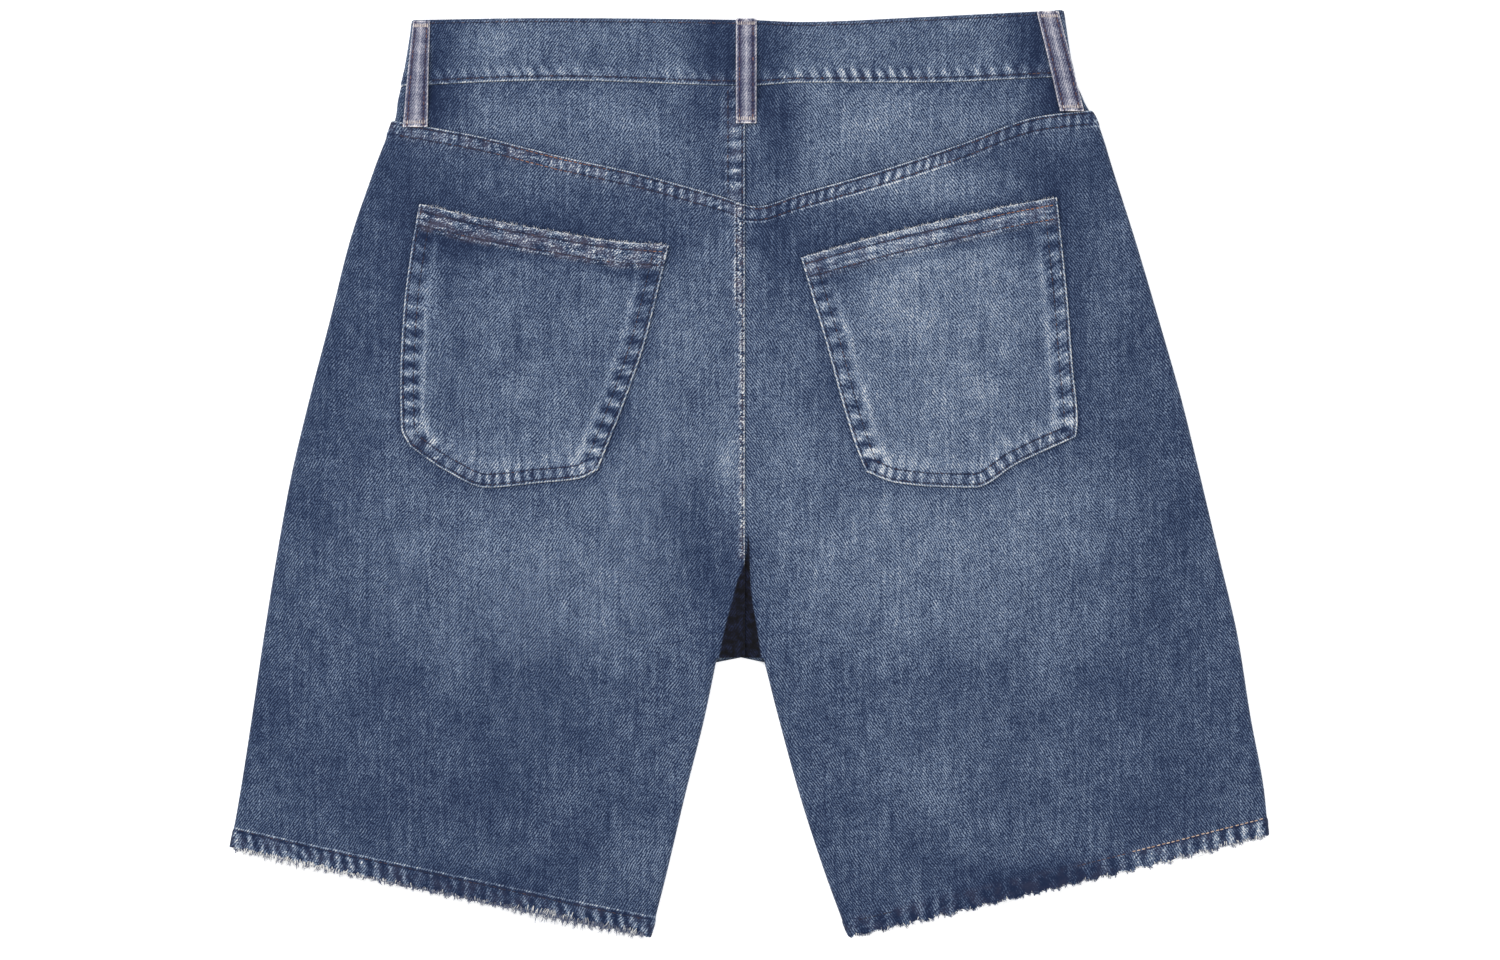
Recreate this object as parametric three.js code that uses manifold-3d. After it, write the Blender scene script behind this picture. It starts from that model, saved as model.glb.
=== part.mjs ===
// Denim shorts laid flat, the back of the garment up.
// Millimetres, +Z up. The surface under the cloth is z = 0, +Y points to the waist,
// and +X is the right of a view from above, which is the wearer's right.
// Each leg is a flattened tube: a front panel lies on the surface, a back panel lies over it,
// and both turn up or down into a round fold at the outseam and the inseam.
import * as THREE from 'three';
import Module from 'manifold-3d';

const wasm = await Module();
wasm.setup();

// Cloth
const CLOTH = 1.2;
const SEAM_GAP = 0.3;
const LAYER = CLOTH + SEAM_GAP;
const BAND_CLOTH = 2.6;
const BAND_PROUD = 0.9;

// The flattened tube
const FOLD_WIDTH = 4.2;
const FOLD_RISE = 3.5;
const CROWN = 4.0;
const CROWN_REACH = { outer: 70, inner: 60, folds: 30 };
const WAIST_LIFT = { height: 2.6, full: 220, none: 178 };
const FOLD_ANGLES = [0, 30, 60, 90].map((degrees) => THREE.MathUtils.degToRad(degrees));

// Where the outseams lie at each height
const OUTSEAM = [
  { y: 296, left: -211.8, right: 197.6 },
  { y: 250, left: -219.4, right: 205.6 },
  { y: 225, left: -225.7, right: 219.0 },
  { y: 195, left: -237.2, right: 229.0 },
  { y: 150, left: -252.6, right: 243.4 },
  { y: 100, left: -265.2, right: 258.2 },
  { y: 50, left: -278.2, right: 272.4 },
  { y: 0, left: -290.0, right: 284.6 },
  { y: -50, left: -299.0, right: 296.4 },
  { y: -100, left: -307.0, right: 308.0 },
  { y: -150, left: -314.4, right: 316.0 },
  { y: -200, left: -322.2, right: 325.0 },
  { y: -240, left: -329.4, right: 328.4 },
];

// Where the inseams lie below the crotch
const INSEAM = [
  { y: -116, left: -21.4, right: 9.0 },
  { y: -150, left: -28.4, right: 17.6 },
  { y: -200, left: -40.9, right: 31.3 },
  { y: -250, left: -52.7, right: 47.5 },
  { y: -296, left: -64.4, right: 64.6 },
];

// Seam of the waistband, and its top edge
const WAIST = [
  { x: -222, seam: 247.0, top: 288.5 },
  { x: -120, seam: 250.0, top: 289.2 },
  { x: 0, seam: 246.8, top: 288.0 },
  { x: 31, seam: 248.6, top: 286.8 },
  { x: 107, seam: 248.8, top: 289.8 },
  { x: 206, seam: 253.3, top: 295.2 },
];

// Top edge of the back panels, where they lap over the yoke
const YOKE_SEAM = [
  { x: -228, y: 225.6 },
  { x: -170, y: 214.8 },
  { x: -120, y: 202.6 },
  { x: -69, y: 191.3 },
  { x: -19, y: 177.5 },
  { x: 4, y: 171.0 },
  { x: 31, y: 178.9 },
  { x: 82, y: 193.4 },
  { x: 132, y: 209.8 },
  { x: 183, y: 227.8 },
  { x: 222, y: 232.4 },
];

// Centre line, crotch and hems
const CENTRE_X = -5;
const CROTCH_Y = -113;
const CROTCH_TOP = 5.7;
const CROTCH_HALF = 16;
const CROTCH_HOLLOW = { topY: -42, length: 68, topHalf: 5, lowHalf: 24, flatShare: 0.35 };
const LEGS_PART = { topY: 60, length: 170 };
const HEM = {
  left: { outerY: -234.0, innerY: -290.4 },
  right: { outerY: -227.0, innerY: -291.2 },
};

// How far a row of a panel drops from the outseam to the middle
const LEG_SLANT = 58;
const FRONT_SLANT_LENGTH = 190;

// Laps: the right piece runs under the left one by this much, and rises again past it
const SEAT_LAP = { edgeX: -3.3, width: 8.7 };
const FLY = { edgeX: -3.3, width: 21, bottomY: 60, lowWidth: 8.7, crotchTrim: 4.5 };
const YOKE_LAP = { edgeX: -3.3, width: 12, underBack: 8.3, clearOfCentre: 18, rise: 14 };
const LAP_RISE = 8;
const LAP_CLEAR = 0.8;

// Hip pocket openings in the front panels
const SCOOP = { topY: 247, depth: 82, width: 92 };
const FACING = { hidden: 12, depth: 97, lowestShare: 0.9, clearOfSide: 27, sideRise: 18.4 };

// Largest soft folds of the back, as they lie on the seat and the legs
const SOFT_FOLDS = [
  { x: 8, y: 152, angle: -78, length: 26, width: 9, height: 1.1 },
  { x: -62, y: 60, angle: 84, length: 60, width: 16, height: 0.7 },
  { x: -150, y: -70, angle: 68, length: 70, width: 24, height: 1.0 },
  { x: -228, y: -150, angle: 82, length: 60, width: 18, height: 0.8 },
  { x: 62, y: -60, angle: 100, length: 80, width: 18, height: 1.0 },
  { x: 140, y: -130, angle: 76, length: 70, width: 22, height: 0.9 },
  { x: 222, y: -40, angle: 106, length: 80, width: 20, height: 0.8 },
];

// Patch pockets: four sides, read clockwise from the top left corner
const POCKET_SIDES = {
  left: {
    top: [
      { x: -208, y: 173 }, { x: -170, y: 164 }, { x: -120, y: 155 }, { x: -82, y: 149 }, { x: -51, y: 147 },
    ],
    right: [
      { x: -51, y: 147 }, { x: -57, y: 122 }, { x: -66, y: 86 }, { x: -79, y: 48 }, { x: -88, y: 25 },
      { x: -96, y: 5 },
    ],
    bottom: [
      { x: -214, y: 20 }, { x: -192, y: 5 }, { x: -166, y: -6 }, { x: -132, y: -3 }, { x: -108, y: -0.5 },
      { x: -96, y: 5 },
    ],
    left: [
      { x: -208, y: 173 }, { x: -213, y: 145 }, { x: -218, y: 105 }, { x: -220, y: 62 }, { x: -219.5, y: 32 },
      { x: -214, y: 20 },
    ],
  },
  right: {
    top: [
      { x: 32, y: 139 }, { x: 82, y: 153 }, { x: 120, y: 162 }, { x: 160, y: 171 }, { x: 193, y: 177 },
    ],
    right: [
      { x: 193, y: 177 }, { x: 196, y: 150 }, { x: 200, y: 110 }, { x: 203, y: 70 }, { x: 206, y: 36 },
      { x: 205, y: 26 },
    ],
    bottom: [
      { x: 73, y: 4 }, { x: 92, y: -3 }, { x: 118, y: -5.5 }, { x: 141, y: -6 }, { x: 168, y: 9 },
      { x: 205, y: 26 },
    ],
    left: [
      { x: 32, y: 139 }, { x: 39, y: 115 }, { x: 48, y: 85 }, { x: 58, y: 48 }, { x: 66, y: 22 },
      { x: 73, y: 4 },
    ],
  },
};
const POCKET_HEM = { width: 16, thickness: 2.4 };

// Belt loops on the back: corners of each strap, and how far it stands off the cloth
const BACK_LOOPS = {
  centre: { topLeft: -8.8, topRight: 4.2, lowLeft: -8.8, lowRight: 4.0, topY: 288.6, lowY: 223 },
  left: { topLeft: -212.0, topRight: -201.4, lowLeft: -218.6, lowRight: -203.0, topY: 287.6, lowY: 221 },
  right: { topLeft: 180.4, topRight: 194.2, lowLeft: 195.2, lowRight: 210.4, topY: 293.6, lowY: 231 },
};
const LOOP_STANDOFF = [
  { along: 0, clear: 0.3 },
  { along: 0.12, clear: 0.3 },
  { along: 0.36, clear: 2.7 },
  { along: 0.62, clear: 2.8 },
  { along: 0.88, clear: 1.3 },
  { along: 1, clear: 1.3 },
];
const LOOP = { edge: 1.4, middle: 2.1 };
const FRONT_LOOP = { offset: 92, width: 12.5, thickness: 2.3, lowY: 224, topY: 287 };
const BUTTON = { x: -2, y: 268, radius: 8.5, height: 2.3, edge: 0.7 };

// Frayed hems
const FRINGE = {
  strip: 1.7, stripCloth: 1.0, root: 0.42, clearOfEnds: 7,
  minLength: 1.8, maxLength: 4.2, longEvery: 9, longLength: 6.4, lean: 0.3,
  strands: { back: 72, front: 50 },
};

const COLOURS = {
  denim: 0x4a668f,
  denimShade: 0x3c5680,
  loop: 0x8d93a6,
  thread: 0xc9ccd6,
  metal: 0x8a7f70,
};

function cloth(colour, roughness = 0.92) {
  return new THREE.MeshStandardMaterial({ color: colour, roughness, metalness: 0 });
}

function smooth(value) {
  const t = THREE.MathUtils.clamp(value, 0, 1);
  return t * t * (3 - 2 * t);
}

function lerp(from, to, t) {
  return from + (to - from) * t;
}

// A smooth curve through a table, with no overshoot between its rows.
function through(table, key, value) {
  const rows = [...table].sort((a, b) => a[key] - b[key]);
  const k = rows.map((row) => row[key]);
  const v = rows.map((row) => row[value]);
  const slopes = k.slice(1).map((end, i) => (v[i + 1] - v[i]) / (end - k[i]));
  const tangents = v.map((unused, i) => {
    if (i === 0) return slopes[0];
    if (i === v.length - 1) return slopes[i - 1];
    const before = slopes[i - 1];
    const after = slopes[i];
    return before * after <= 0 ? 0 : (2 * before * after) / (before + after);
  });
  return (at) => {
    let i = 0;
    while (i < k.length - 2 && at > k[i + 1]) i += 1;
    const span = k[i + 1] - k[i];
    const t = (at - k[i]) / span;
    if (t < 0) return v[0] + slopes[0] * (at - k[0]);
    if (t > 1) return v[i + 1] + slopes[i] * (at - k[i + 1]);
    const t2 = t * t;
    const t3 = t2 * t;
    return (2 * t3 - 3 * t2 + 1) * v[i] + (t3 - 2 * t2 + t) * span * tangents[i]
      + (3 * t2 - 2 * t3) * v[i + 1] + (t3 - t2) * span * tangents[i + 1];
  };
}

const outseamX = { left: through(OUTSEAM, 'y', 'left'), right: through(OUTSEAM, 'y', 'right') };
const inseamX = { left: through(INSEAM, 'y', 'left'), right: through(INSEAM, 'y', 'right') };
const waistSeamY = through(WAIST, 'x', 'seam');
const waistTopY = through(WAIST, 'x', 'top');
const yokeSeamY = through(YOKE_SEAM, 'x', 'y');
const inward = { left: 1, right: -1 };

function sideOf(x) {
  return x < CENTRE_X ? 'left' : 'right';
}

// How the cloth turns at the nearest folded edge: the angle round the fold,
// and the way from that edge into the cloth.
function foldAt(side, x, y) {
  let nearest = inward[side] * (x - outseamX[side](y));
  let way = inward[side];
  if (y < CROTCH_Y - 1) {
    const fromInseam = inward[side] * (inseamX[side](y) - x);
    if (fromInseam < nearest) {
      nearest = fromInseam;
      way = -inward[side];
    }
  }
  const turn = THREE.MathUtils.clamp(1 - nearest / FOLD_WIDTH, 0, 1);
  return { angle: Math.acos(turn), way };
}

function waistLift(y) {
  return WAIST_LIFT.height * smooth((y - WAIST_LIFT.none) / (WAIST_LIFT.full - WAIST_LIFT.none));
}

function softFolds(x, y) {
  return SOFT_FOLDS.reduce((sum, fold) => {
    const angle = THREE.MathUtils.degToRad(fold.angle);
    const along = (x - fold.x) * Math.cos(angle) + (y - fold.y) * Math.sin(angle);
    const across = -(x - fold.x) * Math.sin(angle) + (y - fold.y) * Math.cos(angle);
    return sum + fold.height * Math.exp(-((along / fold.length) ** 2) - (across / fold.width) ** 2);
  }, 0);
}

// Height of the back above the tops of its side folds.
function crownAt(side, x, y) {
  const fromOutseam = Math.abs(x - outseamX[side](y));
  const edgeX = y < CROTCH_Y ? inseamX[side](y) : CENTRE_X - inward[side] * CROTCH_HALF;
  const fromInner = Math.max(0, inward[side] * (edgeX - x));
  const legs = smooth((LEGS_PART.topY - y) / LEGS_PART.length);
  const crown = smooth(fromOutseam / CROWN_REACH.outer) * lerp(1, smooth(fromInner / CROWN_REACH.inner), legs);
  const folds = smooth(fromOutseam / CROWN_REACH.folds) * lerp(1, smooth(fromInner / CROWN_REACH.folds), legs);
  return CROWN * crown + softFolds(x, y) * folds;
}

// The back sinks towards the crotch between the legs.
function crotchSink(x, y) {
  const { topY, length, topHalf, lowHalf, flatShare } = CROTCH_HOLLOW;
  const down = smooth((topY - y) / length);
  const off = Math.abs(x - CENTRE_X) / lerp(topHalf, lowHalf, down);
  return down * (1 - smooth((off - flatShare) / (1 - flatShare)));
}

// A point of the back, so deep under its outer face. Negative depths lie on the cloth.
function backPoint(x, y, depth, side = sideOf(x), seam = SEAM_GAP / 2) {
  const { angle, way } = foldAt(side, x, y);
  const turn = Math.sin(angle);
  const lift = waistLift(y);
  const open = lift + FOLD_RISE + seam + (FOLD_RISE - seam) * turn + crownAt(side, x, y);
  const sink = y < CROTCH_Y - 1 ? 0 : crotchSink(x, y);
  const top = lerp(open, CROTCH_TOP, sink);
  return new THREE.Vector3(x + way * depth * Math.cos(angle), y, top - depth * turn);
}

// A point of the front, so deep inside its outer face, which lies on the surface.
function frontPoint(x, y, depth, side = sideOf(x), seam = SEAM_GAP / 2) {
  const { angle, way } = foldAt(side, x, y);
  const turn = Math.sin(angle);
  const z = waistLift(y) + FOLD_RISE - seam - (FOLD_RISE - seam) * turn;
  return new THREE.Vector3(x + way * depth * Math.cos(angle), y, z + depth * turn);
}

// A closed mesh from its vertices and faces, turned so that the faces point out.
function closedMesh(name, vertices, faces, material) {
  let volume = 0;
  for (const [a, b, c] of faces) {
    volume += vertices[a].dot(new THREE.Vector3().crossVectors(vertices[b], vertices[c]));
  }
  const index = faces.flatMap(([a, b, c]) => (volume > 0 ? [a, b, c] : [a, c, b]));
  const geometry = new THREE.BufferGeometry();
  geometry.setAttribute('position', new THREE.Float32BufferAttribute(vertices.flatMap((v) => v.toArray()), 3));
  geometry.setIndex(index);
  geometry.computeVertexNormals();
  const mesh = new THREE.Mesh(geometry, material);
  mesh.name = name;
  return mesh;
}

// A wall of cloth between two grids of points that have the same rows and columns.
function wall(name, outer, inner, material) {
  const rows = outer.length;
  const columns = outer[0].length;
  const at = (layer, r, c) => layer * rows * columns + r * columns + c;
  const faces = [];
  const quad = (a, b, c, d) => faces.push([a, b, c], [a, c, d]);
  for (let r = 0; r < rows - 1; r += 1) {
    for (let c = 0; c < columns - 1; c += 1) {
      quad(at(0, r, c), at(0, r, c + 1), at(0, r + 1, c + 1), at(0, r + 1, c));
      quad(at(1, r, c), at(1, r + 1, c), at(1, r + 1, c + 1), at(1, r, c + 1));
    }
  }
  for (let c = 0; c < columns - 1; c += 1) {
    quad(at(1, 0, c), at(1, 0, c + 1), at(0, 0, c + 1), at(0, 0, c));
    quad(at(0, rows - 1, c), at(0, rows - 1, c + 1), at(1, rows - 1, c + 1), at(1, rows - 1, c));
  }
  for (let r = 0; r < rows - 1; r += 1) {
    quad(at(0, r, 0), at(0, r + 1, 0), at(1, r + 1, 0), at(1, r, 0));
    quad(at(1, r, columns - 1), at(1, r + 1, columns - 1), at(0, r + 1, columns - 1), at(0, r, columns - 1));
  }
  return closedMesh(name, [...outer.flat(), ...inner.flat()], faces, material);
}

// Distances from a folded edge at which a panel has a column, close together round the fold.
const foldSteps = FOLD_ANGLES.map((angle) => FOLD_WIDTH * (1 - Math.cos(angle)));

function lapSteps(width) {
  return [0, width / 2, width + 0.5, width + 9];
}

// How much deeper a piece lies at x, to pass under the edge of the piece that laps over it.
function underEdge(x, edgeX) {
  return LAYER * (1 - smooth((x - edgeX - LAP_CLEAR) / LAP_RISE));
}

// The columns of one row of a panel, from its outseam end to its inner end.
function rowPoints(side, row, middleCount) {
  const way = inward[side];
  const outerX = outseamX[side](row.outerY);
  const startX = outerX + way * (row.cutBack ?? 0);
  const innerX = row.innerX ?? inseamX[side](row.innerY);
  const innerSteps = row.innerSteps ?? foldSteps;
  const yAt = (x) => {
    const s = (x - outerX) / (innerX - outerX);
    return lerp(row.outerY, row.innerY, s) + (row.bow ? row.bow(x, s) : 0);
  };
  const points = foldSteps.map((step) => {
    const y = yAt(startX + way * step);
    return { x: outseamX[side](y) + way * ((row.cutBack ?? 0) + step), y };
  });
  const middleStart = startX + way * FOLD_WIDTH;
  const middleEnd = innerX - way * innerSteps[3];
  for (let i = 1; i < middleCount; i += 1) {
    const x = lerp(middleStart, middleEnd, i / middleCount);
    points.push({ x, y: yAt(x) });
  }
  for (const step of [...innerSteps].reverse()) {
    const y = yAt(innerX - way * step);
    const x = row.innerX === undefined ? inseamX[side](y) - way * step : innerX - way * step;
    points.push({ x, y });
  }
  return points;
}

function spaced(from, to, count) {
  return Array.from({ length: count + 1 }, (unused, i) => lerp(from, to, i / count));
}

// Slanted rows of a leg, from the first one below the crotch to the hem.
function legRows(side, count) {
  const hem = HEM[side];
  const firstY = CROTCH_Y - 3.5;
  return spaced(0, 1, count).map((t) => ({
    innerY: lerp(firstY, hem.innerY, t),
    outerY: lerp(firstY + LEG_SLANT, hem.outerY, t),
  }));
}

function backPanel(side) {
  const underLap = side === 'right';
  const innerX = underLap ? SEAT_LAP.edgeX - SEAT_LAP.width : SEAT_LAP.edgeX;
  const innerSteps = underLap ? lapSteps(SEAT_LAP.width) : [0, 4, 9, 14];
  const topOuterX = outseamX[side](YOKE_SEAM[side === 'left' ? 0 : YOKE_SEAM.length - 1].y);
  const top = { outerY: yokeSeamY(topOuterX), innerY: yokeSeamY(innerX) };
  const crotch = { outerY: CROTCH_Y + LEG_SLANT, innerY: CROTCH_Y };
  const upper = [0, 0.02, 0.05, 0.14, 0.25, 0.36, 0.47, 0.58, 0.69, 0.79, 0.87, 0.94, 1].map((t) => ({
    outerY: lerp(top.outerY, crotch.outerY, t),
    innerY: lerp(top.innerY, crotch.innerY, t),
    innerX,
    innerSteps,
    bow: (x, s) => (yokeSeamY(x) - lerp(top.outerY, top.innerY, s)) * (1 - t) ** 2,
  }));
  const rows = [...upper, ...legRows(side, 9)].map((row) => rowPoints(side, row, 13));
  const depthAt = (x, y) => {
    if (!underLap || y < CROTCH_Y - 1) return 0;
    return underEdge(x, SEAT_LAP.edgeX);
  };
  const point = (extra) => ({ x, y }) => backPoint(x, y, depthAt(x, y) + extra, side);
  const grid = (extra) => rows.map((row) => row.map(point(extra)));
  return wall(`back_${side}`, grid(0), grid(CLOTH), cloth(COLOURS.denim));
}

function scoopWidth(y) {
  const down = (SCOOP.topY - y) / SCOOP.depth;
  return down >= 1 ? 0 : SCOOP.width * Math.sqrt(1 - down * down);
}

function frontPanel(side) {
  const underLap = side === 'right';
  const lapWidth = (y) => (
    lerp(FLY.lowWidth, FLY.width, smooth((y - FLY.bottomY) / 30)) - FLY.crotchTrim * smooth((-98 - y) / 15)
  );
  const slantAt = (outerY) => LEG_SLANT * smooth((SCOOP.topY - outerY) / FRONT_SLANT_LENGTH);
  const topY = waistSeamY(outseamX[side](SCOOP.topY)) - SEAM_GAP;
  const outerYs = [topY, 236, 222, 205, 188, 175, 168, 165, 150, 125, 95, 60, 25, -10, CROTCH_Y + LEG_SLANT];
  const upper = outerYs.map((outerY, i) => {
    const innerY = i === 0 ? waistSeamY(CENTRE_X) - SEAM_GAP : outerY - slantAt(outerY);
    const width = lapWidth(innerY);
    return {
      outerY,
      innerY,
      innerX: underLap ? FLY.edgeX - width : FLY.edgeX,
      innerSteps: underLap ? lapSteps(width) : [0, 5, 12, 20],
      cutBack: scoopWidth(outerY),
      bow: i === 0 ? (x, s) => waistSeamY(x) - SEAM_GAP - lerp(outerY, innerY, s) : undefined,
    };
  });
  const rows = [...upper, ...legRows(side, 7)].map((row) => rowPoints(side, row, 9));
  const depthAt = (x, y) => {
    if (!underLap || y < CROTCH_Y - 1) return 0;
    return underEdge(x, FLY.edgeX);
  };
  const point = (extra) => ({ x, y }) => frontPoint(x, y, depthAt(x, y) + extra, side);
  const grid = (extra) => rows.map((row) => row.map(point(extra)));
  return wall(`front_${side}`, grid(0), grid(CLOTH), cloth(COLOURS.denimShade));
}

// The piece of denim that shows in a hip pocket's opening, behind the front panel.
function hipFacing(side) {
  const edgeX = outseamX[side](SCOOP.topY);
  const topY = (distance) => waistSeamY(edgeX + inward[side] * distance) - 2 * SEAM_GAP;
  const lowY = (distance) => (
    SCOOP.topY - FACING.depth + FACING.sideRise * (1 - smooth((distance - FACING.clearOfSide) / 12))
  );
  const steps = [0, 0.08, 0.2, 0.35, 0.52, 0.7, 0.86, 1];
  const rows = steps.map((t) => {
    const width = FACING.hidden + SCOOP.width * Math.sqrt(1 - FACING.lowestShare * t * t);
    const distances = [...foldSteps, ...spaced(FOLD_WIDTH, width, 6).slice(1)];
    return distances.map((distance) => {
      const y = lerp(topY(distance), lowY(distance), t);
      return { x: outseamX[side](y) + inward[side] * distance, y };
    });
  });
  const grid = (depth) => rows.map((row) => row.map(({ x, y }) => frontPoint(x, y, depth, side)));
  return wall(`hip_facing_${side}`, grid(LAYER), grid(LAYER + CLOTH), cloth(COLOURS.denim));
}

// The yoke lies under the back panel's top edge and butts on the waistband.
function yoke(side) {
  const underLap = side === 'right';
  const { edgeX, width, rise } = YOKE_LAP;
  const innerX = underLap ? edgeX - width : edgeX;
  const innerSteps = underLap ? lapSteps(width) : [0, 6, 13, 20];
  const way = inward[side];
  const underBack = (x) => YOKE_LAP.underBack * smooth((Math.abs(x - CENTRE_X) - YOKE_LAP.clearOfCentre) / rise);
  const risenY = (x) => yokeSeamY(x) + Math.min(rise, 0.5 * (waistSeamY(x) - yokeSeamY(x)));
  const rowYs = [
    (x) => yokeSeamY(x) + SEAM_GAP - underBack(x),
    (x) => yokeSeamY(x) + CLOTH,
    risenY,
    (x) => lerp(risenY(x), waistSeamY(x), 0.5),
    (x) => waistSeamY(x) - SEAM_GAP,
  ];
  const middleY = 235;
  const rows = rowYs.map((yAt) => {
    const outerX = outseamX[side](yAt(outseamX[side](middleY)));
    const middle = spaced(outerX + way * FOLD_WIDTH, innerX - way * innerSteps[3], 13).slice(1, -1);
    const atOutseam = foldSteps.map((step) => {
      const y = yAt(outerX + way * step);
      return { x: outseamX[side](y) + way * step, y };
    });
    const inner = [...innerSteps].reverse().map((step) => innerX - way * step);
    return [...atOutseam, ...[...middle, ...inner].map((x) => ({ x, y: yAt(x) }))];
  });
  const depthAt = (x, y) => {
    const underPanel = LAYER * (1 - smooth((y - yokeSeamY(x) - CLOTH) / (rise - CLOTH)));
    return underPanel + (underLap ? underEdge(x, edgeX) : 0);
  };
  const point = (extra) => ({ x, y }) => backPoint(x, y, depthAt(x, y) + extra, side);
  const grid = (extra) => rows.map((row) => row.map(point(extra)));
  return wall(`yoke_${side}`, grid(0), grid(CLOTH), cloth(COLOURS.denim));
}

// One band all round the waist. Its left end lies outermost at the centre front.
function waistband() {
  const stations = [];
  const frontX = (list, depth) => list.forEach((x) => stations.push({ face: 'front', x, depth: depth(x) }));
  const roundFold = (face, side, angles) => {
    angles.forEach((angle) => stations.push({ face, side, step: FOLD_WIDTH * (1 - Math.cos(angle)), depth: 0 }));
  };
  const [level, low, high, flat] = FOLD_ANGLES;
  const leftEnd = 12;
  const rightEnd = -20;
  frontX([leftEnd, -20, -60, -100, -140, -180], () => 0);
  roundFold('front', 'left', [flat, high, low, level]);
  roundFold('back', 'left', [low, high, flat]);
  spaced(-195, 180, 18).forEach((x) => stations.push({ face: 'back', x, depth: 0 }));
  roundFold('back', 'right', [flat, high, low, level]);
  roundFold('front', 'right', [low, high, flat]);
  frontX([165, 125, 85, 55, 36, 25, leftEnd + 2, 0, rightEnd], (x) => (
    (BAND_CLOTH + SEAM_GAP) * smooth((40 - x) / 24)
  ));
  const edges = [
    { v: 0, inset: 0.6 }, { v: 0.04, inset: 0 }, { v: 0.5, inset: 0 }, { v: 0.96, inset: 0 }, { v: 1, inset: 0.7 },
  ];
  const place = (station, v, inset, inner) => {
    const side = station.side ?? sideOf(station.x);
    const guessX = station.x ?? outseamX[side](270);
    const y = lerp(waistSeamY(guessX), waistTopY(guessX), v);
    const x = station.x ?? outseamX[side](y) + inward[side] * station.step;
    const depth = station.depth + (inner ? BAND_CLOTH - inset : inset);
    if (station.face === 'front') return frontPoint(x, y, depth, side, 0);
    const proud = BAND_PROUD * Math.sin(foldAt(side, x, y).angle);
    return backPoint(x, y, depth - proud, side, 0);
  };
  const grid = (inner) => stations.map((station) => (
    edges.map(({ v, inset }) => place(station, v, inset, inner))
  ));
  return wall('waistband', grid(false), grid(true), cloth(COLOURS.denim));
}

// Points inside four curved sides, so that a grid follows all of them.
function insideSides(sides, columns, rows) {
  const along = (points) => {
    const lengths = [0];
    points.slice(1).forEach((p, i) => lengths.push(lengths[i] + Math.hypot(p.x - points[i].x, p.y - points[i].y)));
    const total = lengths[lengths.length - 1];
    const table = points.map((p, i) => ({ ...p, t: lengths[i] / total }));
    const x = through(table, 't', 'x');
    const y = through(table, 't', 'y');
    return (t) => ({ x: x(t), y: y(t) });
  };
  const [top, right, bottom, left] = [sides.top, sides.right, sides.bottom, sides.left].map(along);
  const blend = (s, t, key) => {
    const across = lerp(left(t)[key], right(t)[key], s);
    const down = lerp(top(s)[key], bottom(s)[key], t);
    const corners = lerp(lerp(top(0)[key], top(1)[key], s), lerp(bottom(0)[key], bottom(1)[key], s), t);
    return across + down - corners;
  };
  return rows.map((t) => columns.map((s) => ({ x: blend(s, t, 'x'), y: blend(s, t, 'y') })));
}

function patchPocket(side) {
  const hemShare = POCKET_HEM.width / 165;
  const rows = [0, hemShare, hemShare + 0.01, 0.24, 0.4, 0.55, 0.7, 0.82, 0.92, 1];
  const points = insideSides(POCKET_SIDES[side], spaced(0, 1, 11), rows);
  const inHem = (r) => rows[r] <= hemShare;
  const outer = points.map((row, r) => row.map(({ x, y }) => (
    backPoint(x, y, -SEAM_GAP - (inHem(r) ? POCKET_HEM.thickness : CLOTH), side)
  )));
  const inner = points.map((row) => row.map(({ x, y }) => backPoint(x, y, -SEAM_GAP, side)));
  return wall(`pocket_${side}`, outer, inner, cloth(COLOURS.denim));
}

function backLoop(place) {
  const loop = BACK_LOOPS[place];
  const standoff = through(LOOP_STANDOFF, 'along', 'clear');
  const across = [0, 0.1, 0.32, 0.68, 0.9, 1];
  const side = place === 'centre' ? undefined : place;
  const rows = spaced(0, 1, 10);
  const grid = (thick) => rows.map((t) => across.map((s) => {
    const x = lerp(lerp(loop.lowLeft, loop.lowRight, s), lerp(loop.topLeft, loop.topRight, s), t);
    const y = lerp(loop.lowY, loop.topY, t);
    const thickness = s === 0 || s === 1 ? LOOP.edge : LOOP.middle;
    const under = backPoint(x, y, 0, side);
    return new THREE.Vector3(x, y, under.z + standoff(t) + (thick ? thickness : 0));
  }));
  return wall(`belt_loop_${place}`, grid(true), grid(false), cloth(COLOURS.loop));
}

// A front loop lies between the surface and the front of the waistband.
function frontLoop(side) {
  const middle = CENTRE_X - inward[side] * FRONT_LOOP.offset;
  const rows = spaced(FRONT_LOOP.lowY, FRONT_LOOP.topY, 3);
  const across = [-0.5, -0.44, 0.44, 0.5];
  const grid = (top) => rows.map((y) => across.map((s) => {
    const edge = Math.abs(s) === 0.5 ? 0.4 : 0;
    return new THREE.Vector3(middle + s * FRONT_LOOP.width, y, top ? FRONT_LOOP.thickness - edge : edge);
  }));
  return wall(`belt_loop_front_${side}`, grid(true), grid(false), cloth(COLOURS.loop));
}

function waistButton() {
  const { radius, height, edge } = BUTTON;
  const profile = [
    [0, 0], [radius - edge, 0], [radius, edge], [radius, height - edge], [radius - edge, height], [0, height],
  ].map(([r, z]) => new THREE.Vector2(r, z));
  const geometry = new THREE.LatheGeometry(profile, 20);
  geometry.rotateX(Math.PI / 2);
  const material = new THREE.MeshStandardMaterial({ color: COLOURS.metal, roughness: 0.4, metalness: 0.9 });
  const mesh = new THREE.Mesh(geometry, material);
  mesh.position.set(BUTTON.x, BUTTON.y, 0);
  mesh.name = 'waist_button';
  return mesh;
}

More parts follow.
